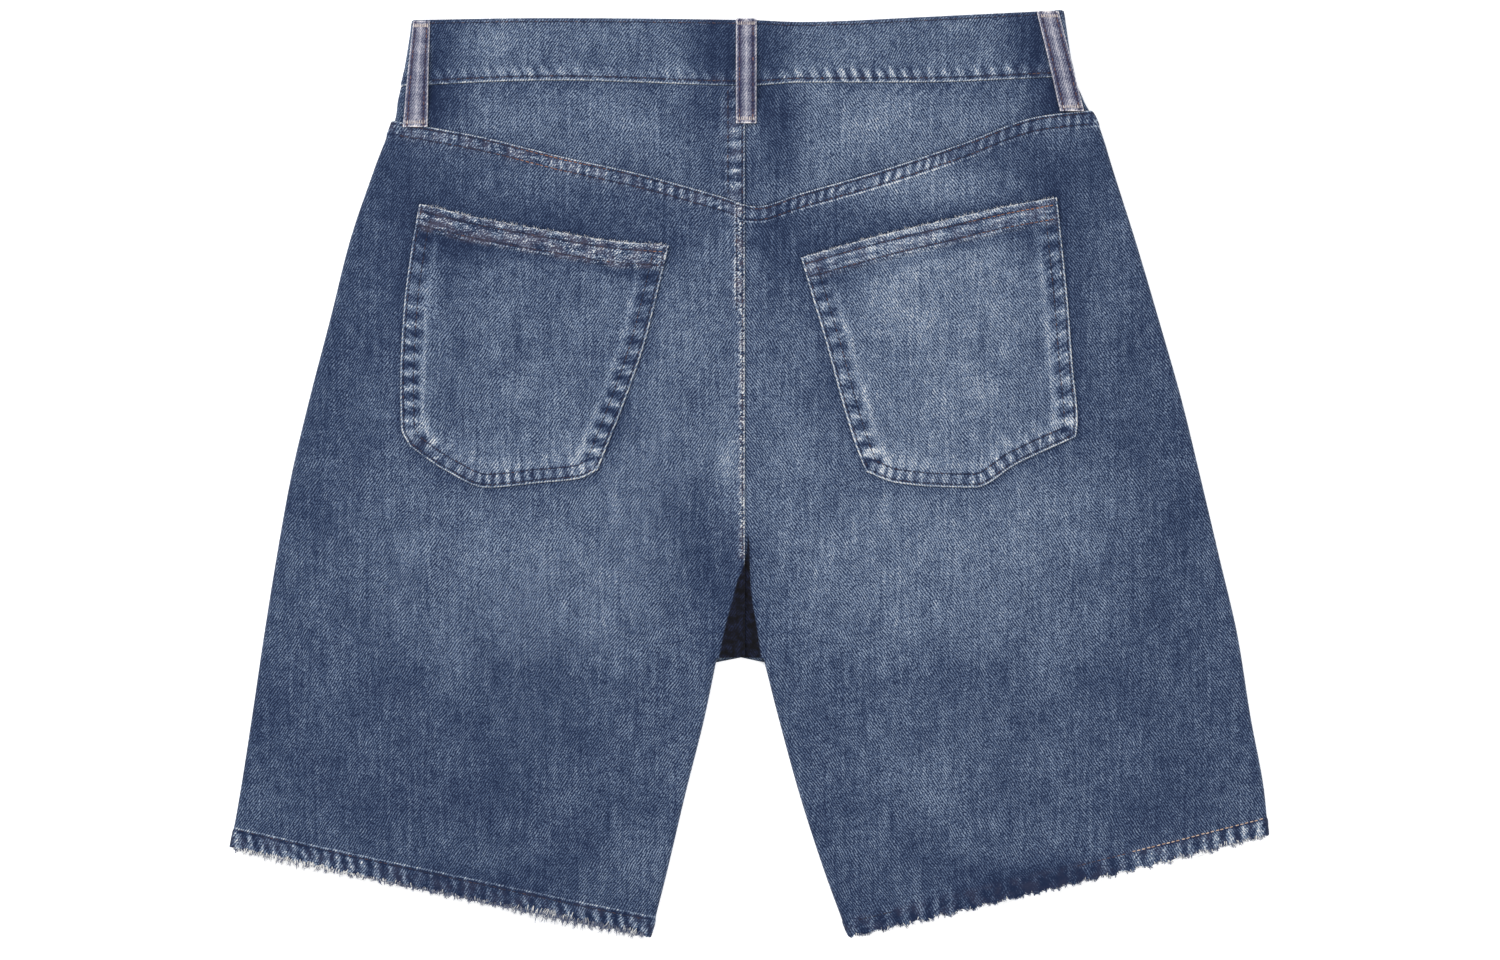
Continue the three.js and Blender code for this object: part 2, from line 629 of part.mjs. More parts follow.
// Even but unequal numbers between 0 and 1, the same on every run.
function scatter(index, salt) {
  const wave = Math.sin(index * 12.9898 + salt * 78.233) * 43758.5453;
  return wave - Math.floor(wave);
}

function toSolid(vertices, faces) {
  return new wasm.Manifold(new wasm.Mesh({
    numProp: 3,
    vertProperties: new Float32Array(vertices.flatMap((v) => v.toArray())),
    triVerts: new Uint32Array(faces.flat()),
  }));
}

// A frayed thread: three sides, from a root inside the strip to a point.
function strand(root, tip, width) {
  const along = new THREE.Vector3().subVectors(tip, root).normalize();
  const acrossWay = new THREE.Vector3().crossVectors(along, new THREE.Vector3(0, 0, 1)).normalize();
  const upWay = new THREE.Vector3().crossVectors(acrossWay, along);
  const corner = (angle) => root.clone()
    .addScaledVector(acrossWay, width * Math.cos(angle))
    .addScaledVector(upWay, width * Math.sin(angle));
  const third = (2 * Math.PI) / 3;
  const vertices = [corner(Math.PI / 2), corner(Math.PI / 2 + third), corner(Math.PI / 2 + 2 * third), tip];
  const faces = [[0, 1, 2], [0, 3, 1], [1, 3, 2], [2, 3, 0]];
  return toSolid(vertices, faces);
}

function hemEnds(side) {
  const { outerY, innerY } = HEM[side];
  return { outerX: outseamX[side](outerY), innerX: inseamX[side](innerY), outerY, innerY };
}

// The frayed edge of one layer of a hem: a narrow strip with its threads, just past the cloth.
function fringe(side, face) {
  const { outerX, innerX, outerY, innerY } = hemEnds(side);
  const way = inward[side];
  const width = Math.abs(innerX - outerX);
  const pointAt = face === 'back' ? backPoint : frontPoint;
  const firstDepth = SEAM_GAP;
  const lastDepth = firstDepth + FRINGE.stripCloth;
  const hemY = (x) => lerp(outerY, innerY, (x - outerX) / (innerX - outerX));
  const distances = [
    ...foldSteps.slice(1), ...spaced(FOLD_WIDTH, width - FOLD_WIDTH, 13).slice(1, -1),
    ...foldSteps.slice(1).reverse().map((step) => width - step),
  ];
  const stripRow = (back) => distances.map((distance) => {
    const x = outerX + way * distance;
    return { x, y: hemY(x) - SEAM_GAP - back };
  });
  const rows = [stripRow(0), stripRow(FRINGE.strip)];
  const grid = (depth) => rows.map((row) => row.map(({ x, y }) => pointAt(x, y, depth, side)));
  const material = cloth(COLOURS.thread);
  const strip = wall('strip', grid(firstDepth), grid(lastDepth), material);
  const stripVertices = [];
  const positions = strip.geometry.getAttribute('position');
  for (let i = 0; i < positions.count; i += 1) {
    stripVertices.push(new THREE.Vector3().fromBufferAttribute(positions, i));
  }
  const stripFaces = [];
  const index = strip.geometry.getIndex().array;
  for (let i = 0; i < index.length; i += 3) stripFaces.push([index[i], index[i + 1], index[i + 2]]);
  let solid = toSolid(stripVertices, stripFaces);
  const count = FRINGE.strands[face];
  const slope = Math.atan2(innerY - outerY, innerX - outerX);
  const threads = [];
  for (let i = 0; i < count; i += 1) {
    const share = (i + 0.25 + 0.5 * scatter(i, 1)) / count;
    const distance = lerp(FRINGE.clearOfEnds, width - FRINGE.clearOfEnds, share);
    const x = outerX + way * distance;
    const y = hemY(x) - SEAM_GAP - 0.55 * FRINGE.strip;
    const root = pointAt(x, y, (firstDepth + lastDepth) / 2, side);
    const long = i % FRINGE.longEvery === 4;
    const length = long ? FRINGE.longLength : lerp(FRINGE.minLength, FRINGE.maxLength, scatter(i, 2));
    const lean = (scatter(i, 3) - 0.5) * FRINGE.lean;
    const heading = slope - way * (Math.PI / 2) + lean;
    const droop = face === 'back' ? lerp(0.2, 1.4, scatter(i, 4)) : lerp(-0.5, 0, scatter(i, 4));
    const tip = new THREE.Vector3(
      root.x + length * Math.cos(heading), root.y + length * Math.sin(heading), root.z - droop,
    );
    threads.push(strand(root, tip, FRINGE.root));
  }
  solid = solid.add(wasm.Manifold.compose(threads));
  const result = solid.getMesh();
  const geometry = new THREE.BufferGeometry();
  geometry.setAttribute('position', new THREE.Float32BufferAttribute(Float32Array.from(result.vertProperties), 3));
  geometry.setIndex(Array.from(result.triVerts));
  geometry.computeVertexNormals();
  const mesh = new THREE.Mesh(geometry, material);
  mesh.name = `fringe_${face}_${side}`;
  return mesh;
}

const shorts = new THREE.Group();
shorts.name = 'denim_shorts';
for (const side of ['left', 'right']) {
  shorts.add(frontPanel(side), hipFacing(side), backPanel(side), yoke(side), patchPocket(side));
  shorts.add(backLoop(side), frontLoop(side));
  shorts.add(fringe(side, 'back'), fringe(side, 'front'));
}
shorts.add(waistband(), backLoop('centre'), waistButton());

export default shorts;
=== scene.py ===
# %% [markdown]
# # Denim shorts, laid flat with the back up
#
# Five-pocket shorts are sewn from flat pieces of twill: two fronts, two backs, two yokes, one
# waistband, two patch pockets and five belt loops. Here they lie on a table with the back up. The
# solids of these pieces are made already, at their real size, and each of them stays where it is.
# This lesson dresses them: every piece of cloth gets a finer skin on the same form, then the
# indigo and its wear, the stitches, and at last the frayed threads of the raw hems.

# %% Load the fixed model and keep its box
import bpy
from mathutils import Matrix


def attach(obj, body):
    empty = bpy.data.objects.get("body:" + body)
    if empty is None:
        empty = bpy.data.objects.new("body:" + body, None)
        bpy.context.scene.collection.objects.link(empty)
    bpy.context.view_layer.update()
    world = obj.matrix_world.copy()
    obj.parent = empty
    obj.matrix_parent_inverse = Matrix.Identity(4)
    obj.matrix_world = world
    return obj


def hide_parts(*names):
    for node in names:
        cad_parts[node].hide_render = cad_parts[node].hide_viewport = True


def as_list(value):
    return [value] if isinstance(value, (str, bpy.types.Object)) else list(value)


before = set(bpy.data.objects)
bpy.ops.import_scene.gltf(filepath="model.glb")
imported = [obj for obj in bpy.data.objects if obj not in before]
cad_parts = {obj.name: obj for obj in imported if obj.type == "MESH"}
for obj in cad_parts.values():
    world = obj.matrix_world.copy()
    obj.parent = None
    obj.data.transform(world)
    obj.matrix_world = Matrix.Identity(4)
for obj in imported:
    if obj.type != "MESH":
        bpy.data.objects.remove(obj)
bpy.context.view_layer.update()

# %% Modules and the unit of this file
import math

import bpy
import numpy as np
from mathutils import Vector

MM = 0.001

# %% [markdown]
# ## Curves through a few points
#
# A pattern cutter draws an outline through a few measured points with a curved ruler. The same is
# done here: a short table holds the points, and a curve that never overshoots joins them. A spline
# object could do it too, but a plain function can be asked for any number of points at once.

# %% Small helpers for numbers and curves
def smooth(value):
    """Rises from 0 to 1 with soft ends while value goes from 0 to 1."""
    t = np.clip(value, 0, 1)
    return t * t * (3 - 2 * t)


def lerp(start, end, t):
    return start + (end - start) * t


def table(columns, rows):
    """A table with named columns."""
    return dict(zip(columns.split(), np.array(rows, float).T))


def through(rows, key, value):
    """A smooth curve through two columns of a table, with no overshoot between its rows."""
    order = np.argsort(rows[key])
    k, v = rows[key][order], rows[value][order]
    slopes = np.diff(v) / np.diff(k)
    before, after = slopes[:-1], slopes[1:]
    both = np.where(before * after > 0, before + after, 1)
    inner = np.where(before * after > 0, 2 * before * after / both, 0)
    tangents = np.concatenate([slopes[:1], inner, slopes[-1:]])

    def curve(at):
        at = np.asarray(at, float)
        i = np.clip(np.searchsorted(k, at) - 1, 0, len(k) - 2)
        span = k[i + 1] - k[i]
        t = (at - k[i]) / span
        s = np.clip(t, 0, 1)
        start, end = (1 + 2 * s) * (1 - s) ** 2 * v[i], s * s * (3 - 2 * s) * v[i + 1]
        bend = s * (1 - s) * span * ((1 - s) * tangents[i] - s * tangents[i + 1])
        return start + end + bend + (t - s) * span * slopes[i]

    return curve


# %% [markdown]
# ## The outline of the shorts
#
# All sizes are in millimetres, seen from above: +X to the right, +Y to the waist. The names left
# and right are the sides of the view. These few tables are the driving sizes of the whole garment:
# the outseams, the inseams, the waist and the slanted seam between the yokes and the backs.

# %% Outline tables
OUTSEAM = table("y left right", [
    (296, -211.8, 197.6), (250, -219.4, 205.6), (225, -225.7, 219.0), (195, -237.2, 229.0),
    (150, -252.6, 243.4), (100, -265.2, 258.2), (50, -278.2, 272.4), (0, -290.0, 284.6),
    (-50, -299.0, 296.4), (-100, -307.0, 308.0), (-150, -314.4, 316.0), (-200, -322.2, 325.0),
    (-240, -329.4, 328.4),
])
INSEAM = table("y left right", [
    (-116, -21.4, 9.0), (-150, -28.4, 17.6), (-200, -40.9, 31.3), (-250, -52.7, 47.5),
    (-296, -64.4, 64.6),
])
WAIST = table("x seam top", [
    (-222, 247.0, 288.5), (-120, 250.0, 289.2), (0, 246.8, 288.0), (31, 248.6, 286.8),
    (107, 248.8, 289.8), (206, 253.3, 295.2),
])
YOKE_SEAM = table("x y", [
    (-228, 225.6), (-170, 214.8), (-120, 202.6), (-69, 191.3), (-19, 177.5), (4, 171.0),
    (31, 178.9), (82, 193.4), (132, 209.8), (183, 227.8), (222, 232.4),
])
CENTRE_X = -5
CROTCH_Y = -113
HEM = {"left": {"outer": -234.0, "inner": -290.4}, "right": {"outer": -227.0, "inner": -291.2}}
SIDES = ("left", "right")
INWARD = {"left": 1, "right": -1}

outseam_x = {side: through(OUTSEAM, "y", side) for side in SIDES}
inseam_x = {side: through(INSEAM, "y", side) for side in SIDES}
waist_seam_y = through(WAIST, "x", "seam")
waist_top_y = through(WAIST, "x", "top")
yoke_seam_y = through(YOKE_SEAM, "x", "y")


def hem_line(side):
    """The two ends of a hem: x and y at the outseam, then x and y at the inseam."""
    outer, inner = HEM[side]["outer"], HEM[side]["inner"]
    return outseam_x[side](outer), outer, inseam_x[side](inner), inner


for side in SIDES:
    outer_x, outer_y, inner_x, inner_y = hem_line(side)
    print(side, "leg opening, flat:", round(math.hypot(inner_x - outer_x, inner_y - outer_y)), "mm")

# %% [markdown]
# ## How the cloth lies
#
# Each leg is a tube that lies flat. The front rests on the table, the back lies over it, and at
# the outseam and the inseam the cloth turns round a soft fold. The back crowns a little above its
# folded sides. Cloth simulation could find this form, but the tools need every layer to stay in its
# own place, so the form is a height above the table that any point can be asked for.

# %% Thickness and height of the layers
CLOTH = 1.2
SEAM_GAP = 0.3
LAYER = CLOTH + SEAM_GAP
BAND_CLOTH = 2.6
BAND_PROUD = 0.9
FOLD_WIDTH = 4.2
FOLD_RISE = 3.5
CROWN = 4.0
CROWN_REACH = {"outer": 70, "inner": 60, "folds": 30}
WAIST_LIFT = {"height": 2.6, "full": 220, "none": 178}
CROTCH_TOP = 5.7
CROTCH_HALF = 16
CROTCH_HOLLOW = {"top": -42, "length": 68, "top_half": 5, "low_half": 24, "flat": 0.35}
LEGS_PART = {"top": 60, "length": 170}

SOFT_FOLDS = table("x y angle length width height", [
    (8, 152, -78, 26, 9, 1.1), (-62, 60, 84, 60, 16, 0.7), (-150, -70, 68, 70, 24, 1.0),
    (-228, -150, 82, 60, 18, 0.8), (62, -60, 100, 80, 18, 1.0), (140, -130, 76, 70, 22, 0.9),
    (222, -40, 106, 80, 20, 0.8),
])

# %% [markdown]
# ## Creases placed one by one
#
# Washed denim is never flat. Troughs run out from the crotch, hang below the yoke and cross the
# hips beside the pockets. Each crease is a row of a table: where its middle lies, which way it
# runs, how long and wide it is, and how high it stands. A minus makes it a trough. No two are
# alike, because even creases look like corrugated card.

# %% Creases of the back and of the front
BACK_CREASES = table("x y angle length width height", [
    (14, 148, -80, 24, 3.2, -0.55), (-22, 146, -98, 30, 3.6, -0.35), (-34, 70, -93, 44, 4.5, -0.4),
    (-20, 12, -96, 36, 4.0, -0.35), (22, 40, -86, 52, 4.6, -0.4), (40, 84, -82, 34, 4.2, 0.35),
    (-46, 20, -88, 50, 5.0, 0.35), (12, -36, -68, 30, 3.4, 0.5), (26, -70, -58, 36, 4.2, -0.5),
    (44, -58, -48, 40, 5.0, 0.45), (-20, -52, -112, 26, 3.4, 0.45), (-36, -78, -122, 34, 4.4, -0.45),
    (-58, -66, -134, 40, 5.5, 0.4), (-236, 118, -74, 30, 4.0, -0.35), (-244, 76, -80, 34, 4.4, 0.35),
    (-250, 20, -84, 46, 5.4, -0.4), (226, 112, -108, 30, 4.0, -0.35), (232, 64, -102, 40, 4.6, 0.35),
    (240, 8, -98, 44, 5.4, -0.4), (-120, 184, 12, 26, 4.0, -0.3), (96, 176, -14, 30, 4.2, -0.3),
    (-150, -30, 20, 46, 7.0, 0.35), (-90, -120, 62, 44, 6.0, -0.4), (-180, -180, 74, 50, 6.4, -0.4),
    (-262, -110, 84, 44, 5.4, 0.35), (-120, -214, 80, 34, 6.0, 0.35), (118, -20, -18, 46, 7.0, 0.35),
    (92, -150, -66, 44, 6.0, -0.4), (176, -176, -76, 50, 6.4, 0.4), (262, -128, -84, 44, 5.4, -0.35),
    (208, -206, -82, 34, 5.6, -0.35), (132, -232, -78, 28, 5.0, 0.3), (-58, 196, 22, 26, 4.0, 0.25),
])
YOKE_CREASES = table("x y angle length width height", [
    (-28, 232, 24, 18, 3.2, -0.4), (-42, 222, 34, 20, 3.4, 0.35), (-60, 238, 8, 24, 4.0, -0.3),
    (24, 230, -26, 18, 3.2, -0.4), (44, 220, -30, 22, 3.6, 0.3), (-150, 236, -16, 26, 4.0, -0.3),
    (-120, 226, 12, 26, 4.2, 0.3), (120, 232, 14, 26, 4.0, -0.3), (160, 240, -10, 22, 3.8, 0.25),
])
FRONT_CREASES = table("x y angle length width height", [
    (-60, 30, 24, 46, 5.0, 0.4), (-72, 4, 32, 52, 5.4, 0.45), (-88, -28, 42, 50, 5.0, 0.4),
    (56, 34, -22, 46, 5.0, 0.4), (70, 2, -34, 50, 5.6, 0.45), (84, -32, -44, 50, 5.0, 0.4),
    (-200, 60, 70, 50, 6.0, 0.35), (196, 54, -72, 50, 6.0, 0.35), (-160, -120, 80, 60, 7.0, 0.4),
    (-240, -60, 84, 54, 6.0, 0.35), (160, -140, -80, 60, 7.0, 0.4), (236, -84, -84, 54, 6.0, 0.35),
])


def creases(rows, x, y):
    """Height that a table of folds or creases adds at each point."""
    total = np.zeros(np.broadcast(x, y).shape)
    for i in range(len(rows["x"])):
        fold = {name: column[i] for name, column in rows.items()}
        angle = math.radians(fold["angle"])
        dx, dy = x - fold["x"], y - fold["y"]
        along = (dx * math.cos(angle) + dy * math.sin(angle)) / fold["length"]
        across = (dy * math.cos(angle) - dx * math.sin(angle)) / fold["width"]
        total = total + fold["height"] * np.exp(-along**2 - across**2)
    return total


# %% The height of the back and of the front
def fold_at(side, x, y):
    """How far the cloth has turned at its nearest folded edge, and the way into the cloth."""
    way = INWARD[side]
    from_outseam = way * (x - outseam_x[side](y))
    from_inseam = np.where(y < CROTCH_Y - 1, way * (inseam_x[side](y) - x), np.inf)
    turn = np.clip(1 - np.minimum(from_outseam, from_inseam) / FOLD_WIDTH, 0, 1)
    return np.arccos(turn), np.where(from_inseam < from_outseam, -way, way)


def waist_lift(y):
    return WAIST_LIFT["height"] * smooth((y - WAIST_LIFT["none"]) / (WAIST_LIFT["full"] - WAIST_LIFT["none"]))


def crown_at(side, x, y):
    """How far the back stands above the tops of its side folds."""
    way = INWARD[side]
    from_outseam = np.abs(x - outseam_x[side](y))
    edge_x = np.where(y < CROTCH_Y, inseam_x[side](y), CENTRE_X - way * CROTCH_HALF)
    from_inner = np.maximum(0, way * (edge_x - x))
    legs = smooth((LEGS_PART["top"] - y) / LEGS_PART["length"])
    reach = CROWN_REACH
    crown = smooth(from_outseam / reach["outer"]) * lerp(1, smooth(from_inner / reach["inner"]), legs)
    soft = smooth(from_outseam / reach["folds"]) * lerp(1, smooth(from_inner / reach["folds"]), legs)
    relief = creases(SOFT_FOLDS, x, y) + creases(BACK_CREASES, x, y) + creases(YOKE_CREASES, x, y)
    return CROWN * crown + relief * soft


def crotch_sink(x, y):
    """From 0 to 1 where the back sinks towards the crotch between the legs."""
    hollow = CROTCH_HOLLOW
    down = smooth((hollow["top"] - y) / hollow["length"])
    off = np.abs(x - CENTRE_X) / lerp(hollow["top_half"], hollow["low_half"], down)
    return down * (1 - smooth((off - hollow["flat"]) / (1 - hollow["flat"])))


def back_point(side, x, y, depth=0.0, seam=SEAM_GAP / 2):
    """Points of the back, so deep under its outer face. A minus depth lies on the cloth."""
    angle, way = fold_at(side, x, y)
    turn = np.sin(angle)
    height = waist_lift(y) + FOLD_RISE + seam + (FOLD_RISE - seam) * turn + crown_at(side, x, y)
    sink = np.where(y < CROTCH_Y - 1, 0, crotch_sink(x, y))
    height = lerp(height, CROTCH_TOP, sink)
    return np.stack([x + way * depth * np.cos(angle), y + 0 * x, height - depth * turn], -1)


def front_point(side, x, y, depth=0.0, seam=SEAM_GAP / 2):
    """Points of the front, so deep inside its outer face, which lies on the table."""
    angle, way = fold_at(side, x, y)
    turn = np.sin(angle)
    relief = np.maximum(0, creases(FRONT_CREASES, x, y)) * turn
    height = waist_lift(y) + FOLD_RISE - seam - (FOLD_RISE - seam) * turn + relief
    return np.stack([x + way * depth * np.cos(angle), y + 0 * x, height + depth * turn], -1)


print("back at the seat", back_point("left", np.array(-100.0), np.array(0.0))[2].round(1), "mm high")

# %% [markdown]
# ## A shell of cloth
#
# Cloth has two faces and a thickness, so each piece is a closed shell: a grid of points for the
# outer face, a grid under it for the inner face, and a narrow rim that joins them. The Solidify
# modifier would do nearly the same, but here each face has its own height, because puckers show on
# the outer face only. Numbers that the material needs later are stored at the points too.

# %% Meshes from grids of points
# 'dark' marks where the shade between the legs is painted into the colour.
FIELD_DEFAULTS = {
    "fade": 0.5, "ridge": 0.0, "edge": 99.0, "stitch": 99.0, "worn": 0.0, "reverse": 0.0, "dark": 0.0,
}


def add_mesh(name, points, polygons, material, numbers=None, sharp=50):
    """A mesh object from points in mm, arrays of polygons, and numbers to store at its points."""
    mesh = bpy.data.meshes.new(name)
    mesh.vertices.add(len(points))
    mesh.vertices.foreach_set("co", (points * MM).astype(np.float32).ravel())
    sizes = np.concatenate([np.full(len(p), p.shape[1]) for p in polygons])
    corners = np.concatenate([p.ravel() for p in polygons])
    mesh.loops.add(len(corners))
    mesh.loops.foreach_set("vertex_index", corners.astype(np.int32))
    mesh.polygons.add(len(sizes))
    mesh.polygons.foreach_set("loop_start", np.concatenate([[0], np.cumsum(sizes)[:-1]]).astype(np.int32))
    for field, values in (numbers or {}).items():
        vector = values.ndim == 2
        made = mesh.attributes.new(field, "FLOAT_VECTOR" if vector else "FLOAT", "POINT")
        made.data.foreach_set("vector" if vector else "value", values.astype(np.float32).ravel())
    mesh.update(calc_edges=True)
    mesh.validate()
    mesh.polygons.foreach_set("use_smooth", np.ones(len(mesh.polygons), bool))
    mesh.set_sharp_from_angle(angle=math.radians(sharp))
    mesh.materials.append(material)
    piece = bpy.data.objects.new(name, mesh)
    bpy.context.scene.collection.objects.link(piece)
    return piece


def grid_quads(at):
    """The four-sided faces of a grid of point numbers."""
    return np.stack([at[:-1, :-1], at[:-1, 1:], at[1:, 1:], at[1:, :-1]], -1).reshape(-1, 4)


def shell(name, outer, inner, cloth, fields, material):
    """A closed shell of cloth between two grids of points that have the same rows and columns."""
    rows, columns = outer.shape[:2]
    top = np.arange(rows * columns).reshape(rows, columns)
    low = top + rows * columns
    ring = np.concatenate([top[0, :-1], top[:-1, -1], top[-1, :0:-1], top[:0:-1, 0]])
    after = np.roll(ring, -1)
    rim = np.stack([after, ring, ring + rows * columns, after + rows * columns], -1)
    faces = np.concatenate([grid_quads(top), grid_quads(low)[:, ::-1], rim])
    points = np.concatenate([outer.reshape(-1, 3), inner.reshape(-1, 3)])
    a, b, c, d = (points[faces[:, i]] for i in range(4))
    volume = np.sum(a * np.cross(b, c)) + np.sum(a * np.cross(c, d))
    if volume < 0:
        faces = faces[:, ::-1]
    numbers = {"cloth": np.tile(cloth.reshape(-1, 3), (2, 1))}
    for field, usual in FIELD_DEFAULTS.items():
        values = np.broadcast_to(fields.get(field, usual), (rows, columns)).ravel()
        numbers[field] = np.tile(values, 2)
    numbers["reverse"][rows * columns:] = 1
    numbers["ridge"][rows * columns:] = 0
    return add_mesh(name, points, [faces], material, numbers)


def dress(piece, slot, *nodes):
    """The piece moves with the shorts and stands for its solids. Its slot is not used."""
    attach(piece, "root")
    if nodes:
        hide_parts(*nodes)
    print(piece.name, len(piece.data.polygons), "faces")
    return piece


# %% [markdown]
# ## Effects that several finishes share
#
# Denim is white cotton with indigo on its surface only, so every rub shows white. Three effects
# make it: the diagonal rib of the twill, lines where an edge is rubbed or a row of stitches bites
# in, and the wash that turns a tone from 0 to 1 into a colour. Each is a node group with
# named inputs, so that pockets, loops and backs can share it with their own values. Painted images
# would look right from one distance only, and noise stays sharp at any.

# %% Helpers that build shader nodes
def srgb(red, green, blue):
    """A colour read off a screen, 0 to 255, as the linear one that a shader needs."""
    part = [c / 255 for c in (red, green, blue)]
    return [c / 12.92 if c <= 0.04045 else ((c + 0.055) / 1.055) ** 2.4 for c in part] + [1]


def add_node(tree, kind, inputs=None, **settings):
    node = tree.nodes.new(kind)
    for name, value in settings.items():
        setattr(node, name, value)
    for name, value in (inputs or {}).items():
        if isinstance(value, bpy.types.NodeSocket):
            tree.links.new(value, node.inputs[name])
        else:
            node.inputs[name].default_value = value
    return node


def calc(tree, operation, *values, clamp=False):
    """One sum, product or other step of arithmetic on numbers or sockets."""
    inputs = dict(enumerate(values))
    return add_node(tree, "ShaderNodeMath", inputs, operation=operation, use_clamp=clamp).outputs[0]


def rise(tree, value, low, high, start=0.0, end=1.0):
    """Rises smoothly from start to end while value goes from low to high."""
    inputs = {"Value": value, "From Min": low, "From Max": high, "To Min": start, "To Max": end}
    return add_node(tree, "ShaderNodeMapRange", inputs, interpolation_type="SMOOTHSTEP").outputs[0]


def noise(tree, place, scale, detail=2.0, roughness=0.5):
    inputs = {"Vector": place, "Scale": scale, "Detail": detail, "Roughness": roughness}
    return add_node(tree, "ShaderNodeTexNoise", inputs).outputs["Fac"]


def stretch(tree, place, sizes, turn=0.0):
    """The place divided by three sizes, after a turn in degrees."""
    turned = add_node(tree, "ShaderNodeVectorRotate", {"Vector": place, "Angle": math.radians(turn)})
    scale = [1 / size for size in sizes]
    inputs = {0: turned.outputs[0], 1: scale}
    return add_node(tree, "ShaderNodeVectorMath", inputs, operation="MULTIPLY").outputs[0]


def blend_colours(tree, share, first, second):
    node = add_node(tree, "ShaderNodeMix", {"Factor": share}, data_type="RGBA")
    for index, colour in ((6, first), (7, second)):
        if isinstance(colour, bpy.types.NodeSocket):
            tree.links.new(colour, node.inputs[index])
        else:
            node.inputs[index].default_value = colour
    return node.outputs[2]


def new_group(name, inputs, outputs):
    """An empty node group. Inputs and outputs are (name, kind, usual value)."""
    tree = bpy.data.node_groups.new(name, "ShaderNodeTree")
    for way, sockets in (("INPUT", inputs), ("OUTPUT", outputs)):
        for label, kind, usual in sockets:
            socket = tree.interface.new_socket(label, in_out=way, socket_type="NodeSocket" + kind)
            if usual is not None:
                socket.default_value = usual
    return tree, tree.nodes.new("NodeGroupInput").outputs, tree.nodes.new("NodeGroupOutput").inputs


def place_group(tree, group, inputs):
    """Puts a group in a material with its own values, and gives its outputs."""
    node = tree.nodes.new("ShaderNodeGroup")
    node.node_tree = group
    for name, value in inputs.items():
        if isinstance(value, bpy.types.NodeSocket):
            tree.links.new(value, node.inputs[name])
        else:
            node.inputs[name].default_value = value
    return node.outputs


# %% [markdown]
# ### Twill
#
# In a twill the filling thread passes under three warp threads and over one, a step further on in
# each row, so short white flecks line up in steep diagonals. The group draws the diagonals as a
# wave and breaks them into flecks with noise that is stretched along them.

# %% Node group: twill weave
TWILL_ANGLE = 55

def build_twill():
    tree, given, result = new_group(
        "Twill weave",
        [("Cloth", "Vector", None), ("Pitch", "Float", 1.6), ("Broken", "Float", 0.6)],
        [("Fleck", "Float", None), ("Height", "Float", None)],
    )
    drift = noise(tree, given["Cloth"], 0.05, 2.0)
    ribs = stretch(tree, given["Cloth"], (1, 1, 1), -TWILL_ANGLE)
    across = add_node(tree, "ShaderNodeSeparateXYZ", {0: ribs}).outputs["Y"]
    bent = calc(tree, "ADD", across, calc(tree, "MULTIPLY", drift, 5.0))
    wave = calc(tree, "SINE", calc(tree, "MULTIPLY", calc(tree, "DIVIDE", bent, given["Pitch"]), 2 * math.pi))
    rib = calc(tree, "MULTIPLY_ADD", wave, 0.5, 0.5)
    flecks = noise(tree, stretch(tree, given["Cloth"], (1.5, 0.68, 1), -TWILL_ANGLE), 1.0, 2.0, 0.6)
    specks = noise(tree, given["Cloth"], 1.8, 1.0)
    grain = calc(tree, "MULTIPLY_ADD", calc(tree, "SUBTRACT", flecks, 0.5), 2.6, 0.5)
    grain = calc(tree, "ADD", grain, calc(tree, "MULTIPLY", calc(tree, "SUBTRACT", specks, 0.5), 1.8))
    mixed = add_node(tree, "ShaderNodeMix", {"Factor": given["Broken"], "A": rib, "B": grain}).outputs[0]
    tree.links.new(rise(tree, mixed, 0.12, 0.88), result["Fleck"])
    tree.links.new(mixed, result["Height"])
    return tree


twill = build_twill()
print("node group", twill.name)

# %% [markdown]
# ### Lines
#
# A rubbed edge is a white line about a millimetre wide, broken where the cloth was spared. A row of
# stitches pulls the cloth into a narrow dark groove. Both are bands round a distance of zero.

# %% Node group: line along an edge or a seam
def build_line():
    tree, given, result = new_group(
        "Line on cloth",
        [("Cloth", "Vector", None), ("Distance", "Float", 99.0), ("Width", "Float", 1.2),
         ("Broken", "Float", 0.5), ("Patch", "Float", 9.0)],
        [("Mask", "Float", None)],
    )
    ragged = calc(tree, "MULTIPLY", calc(tree, "SUBTRACT", noise(tree, given["Cloth"], 0.7), 0.5), 1.1)
    near = calc(tree, "ADD", calc(tree, "ABSOLUTE", given["Distance"]), ragged)
    line = rise(tree, calc(tree, "DIVIDE", near, given["Width"]), 0.35, 1.0, 1.0, 0.0)
    patches = noise(tree, given["Cloth"], calc(tree, "DIVIDE", 1.0, given["Patch"]), 3.0)
    spared = calc(tree, "MULTIPLY", rise(tree, patches, 0.35, 0.6, 1.0, 0.0), given["Broken"])
    tree.links.new(calc(tree, "MULTIPLY", line, calc(tree, "SUBTRACT", 1.0, spared)), result["Mask"])
    return tree


line_on_cloth = build_line()
print("node group", line_on_cloth.name)

# %% [markdown]
# ### Speckle
#
# Where three or four layers meet, at hems and lapped seams, the yarns are rubbed one by one: white
# ones lie beside navy ones, and the mixture looks grey or mauve from a step away. The group gives
# that salt and pepper as a number round zero, drawn out a little along X.

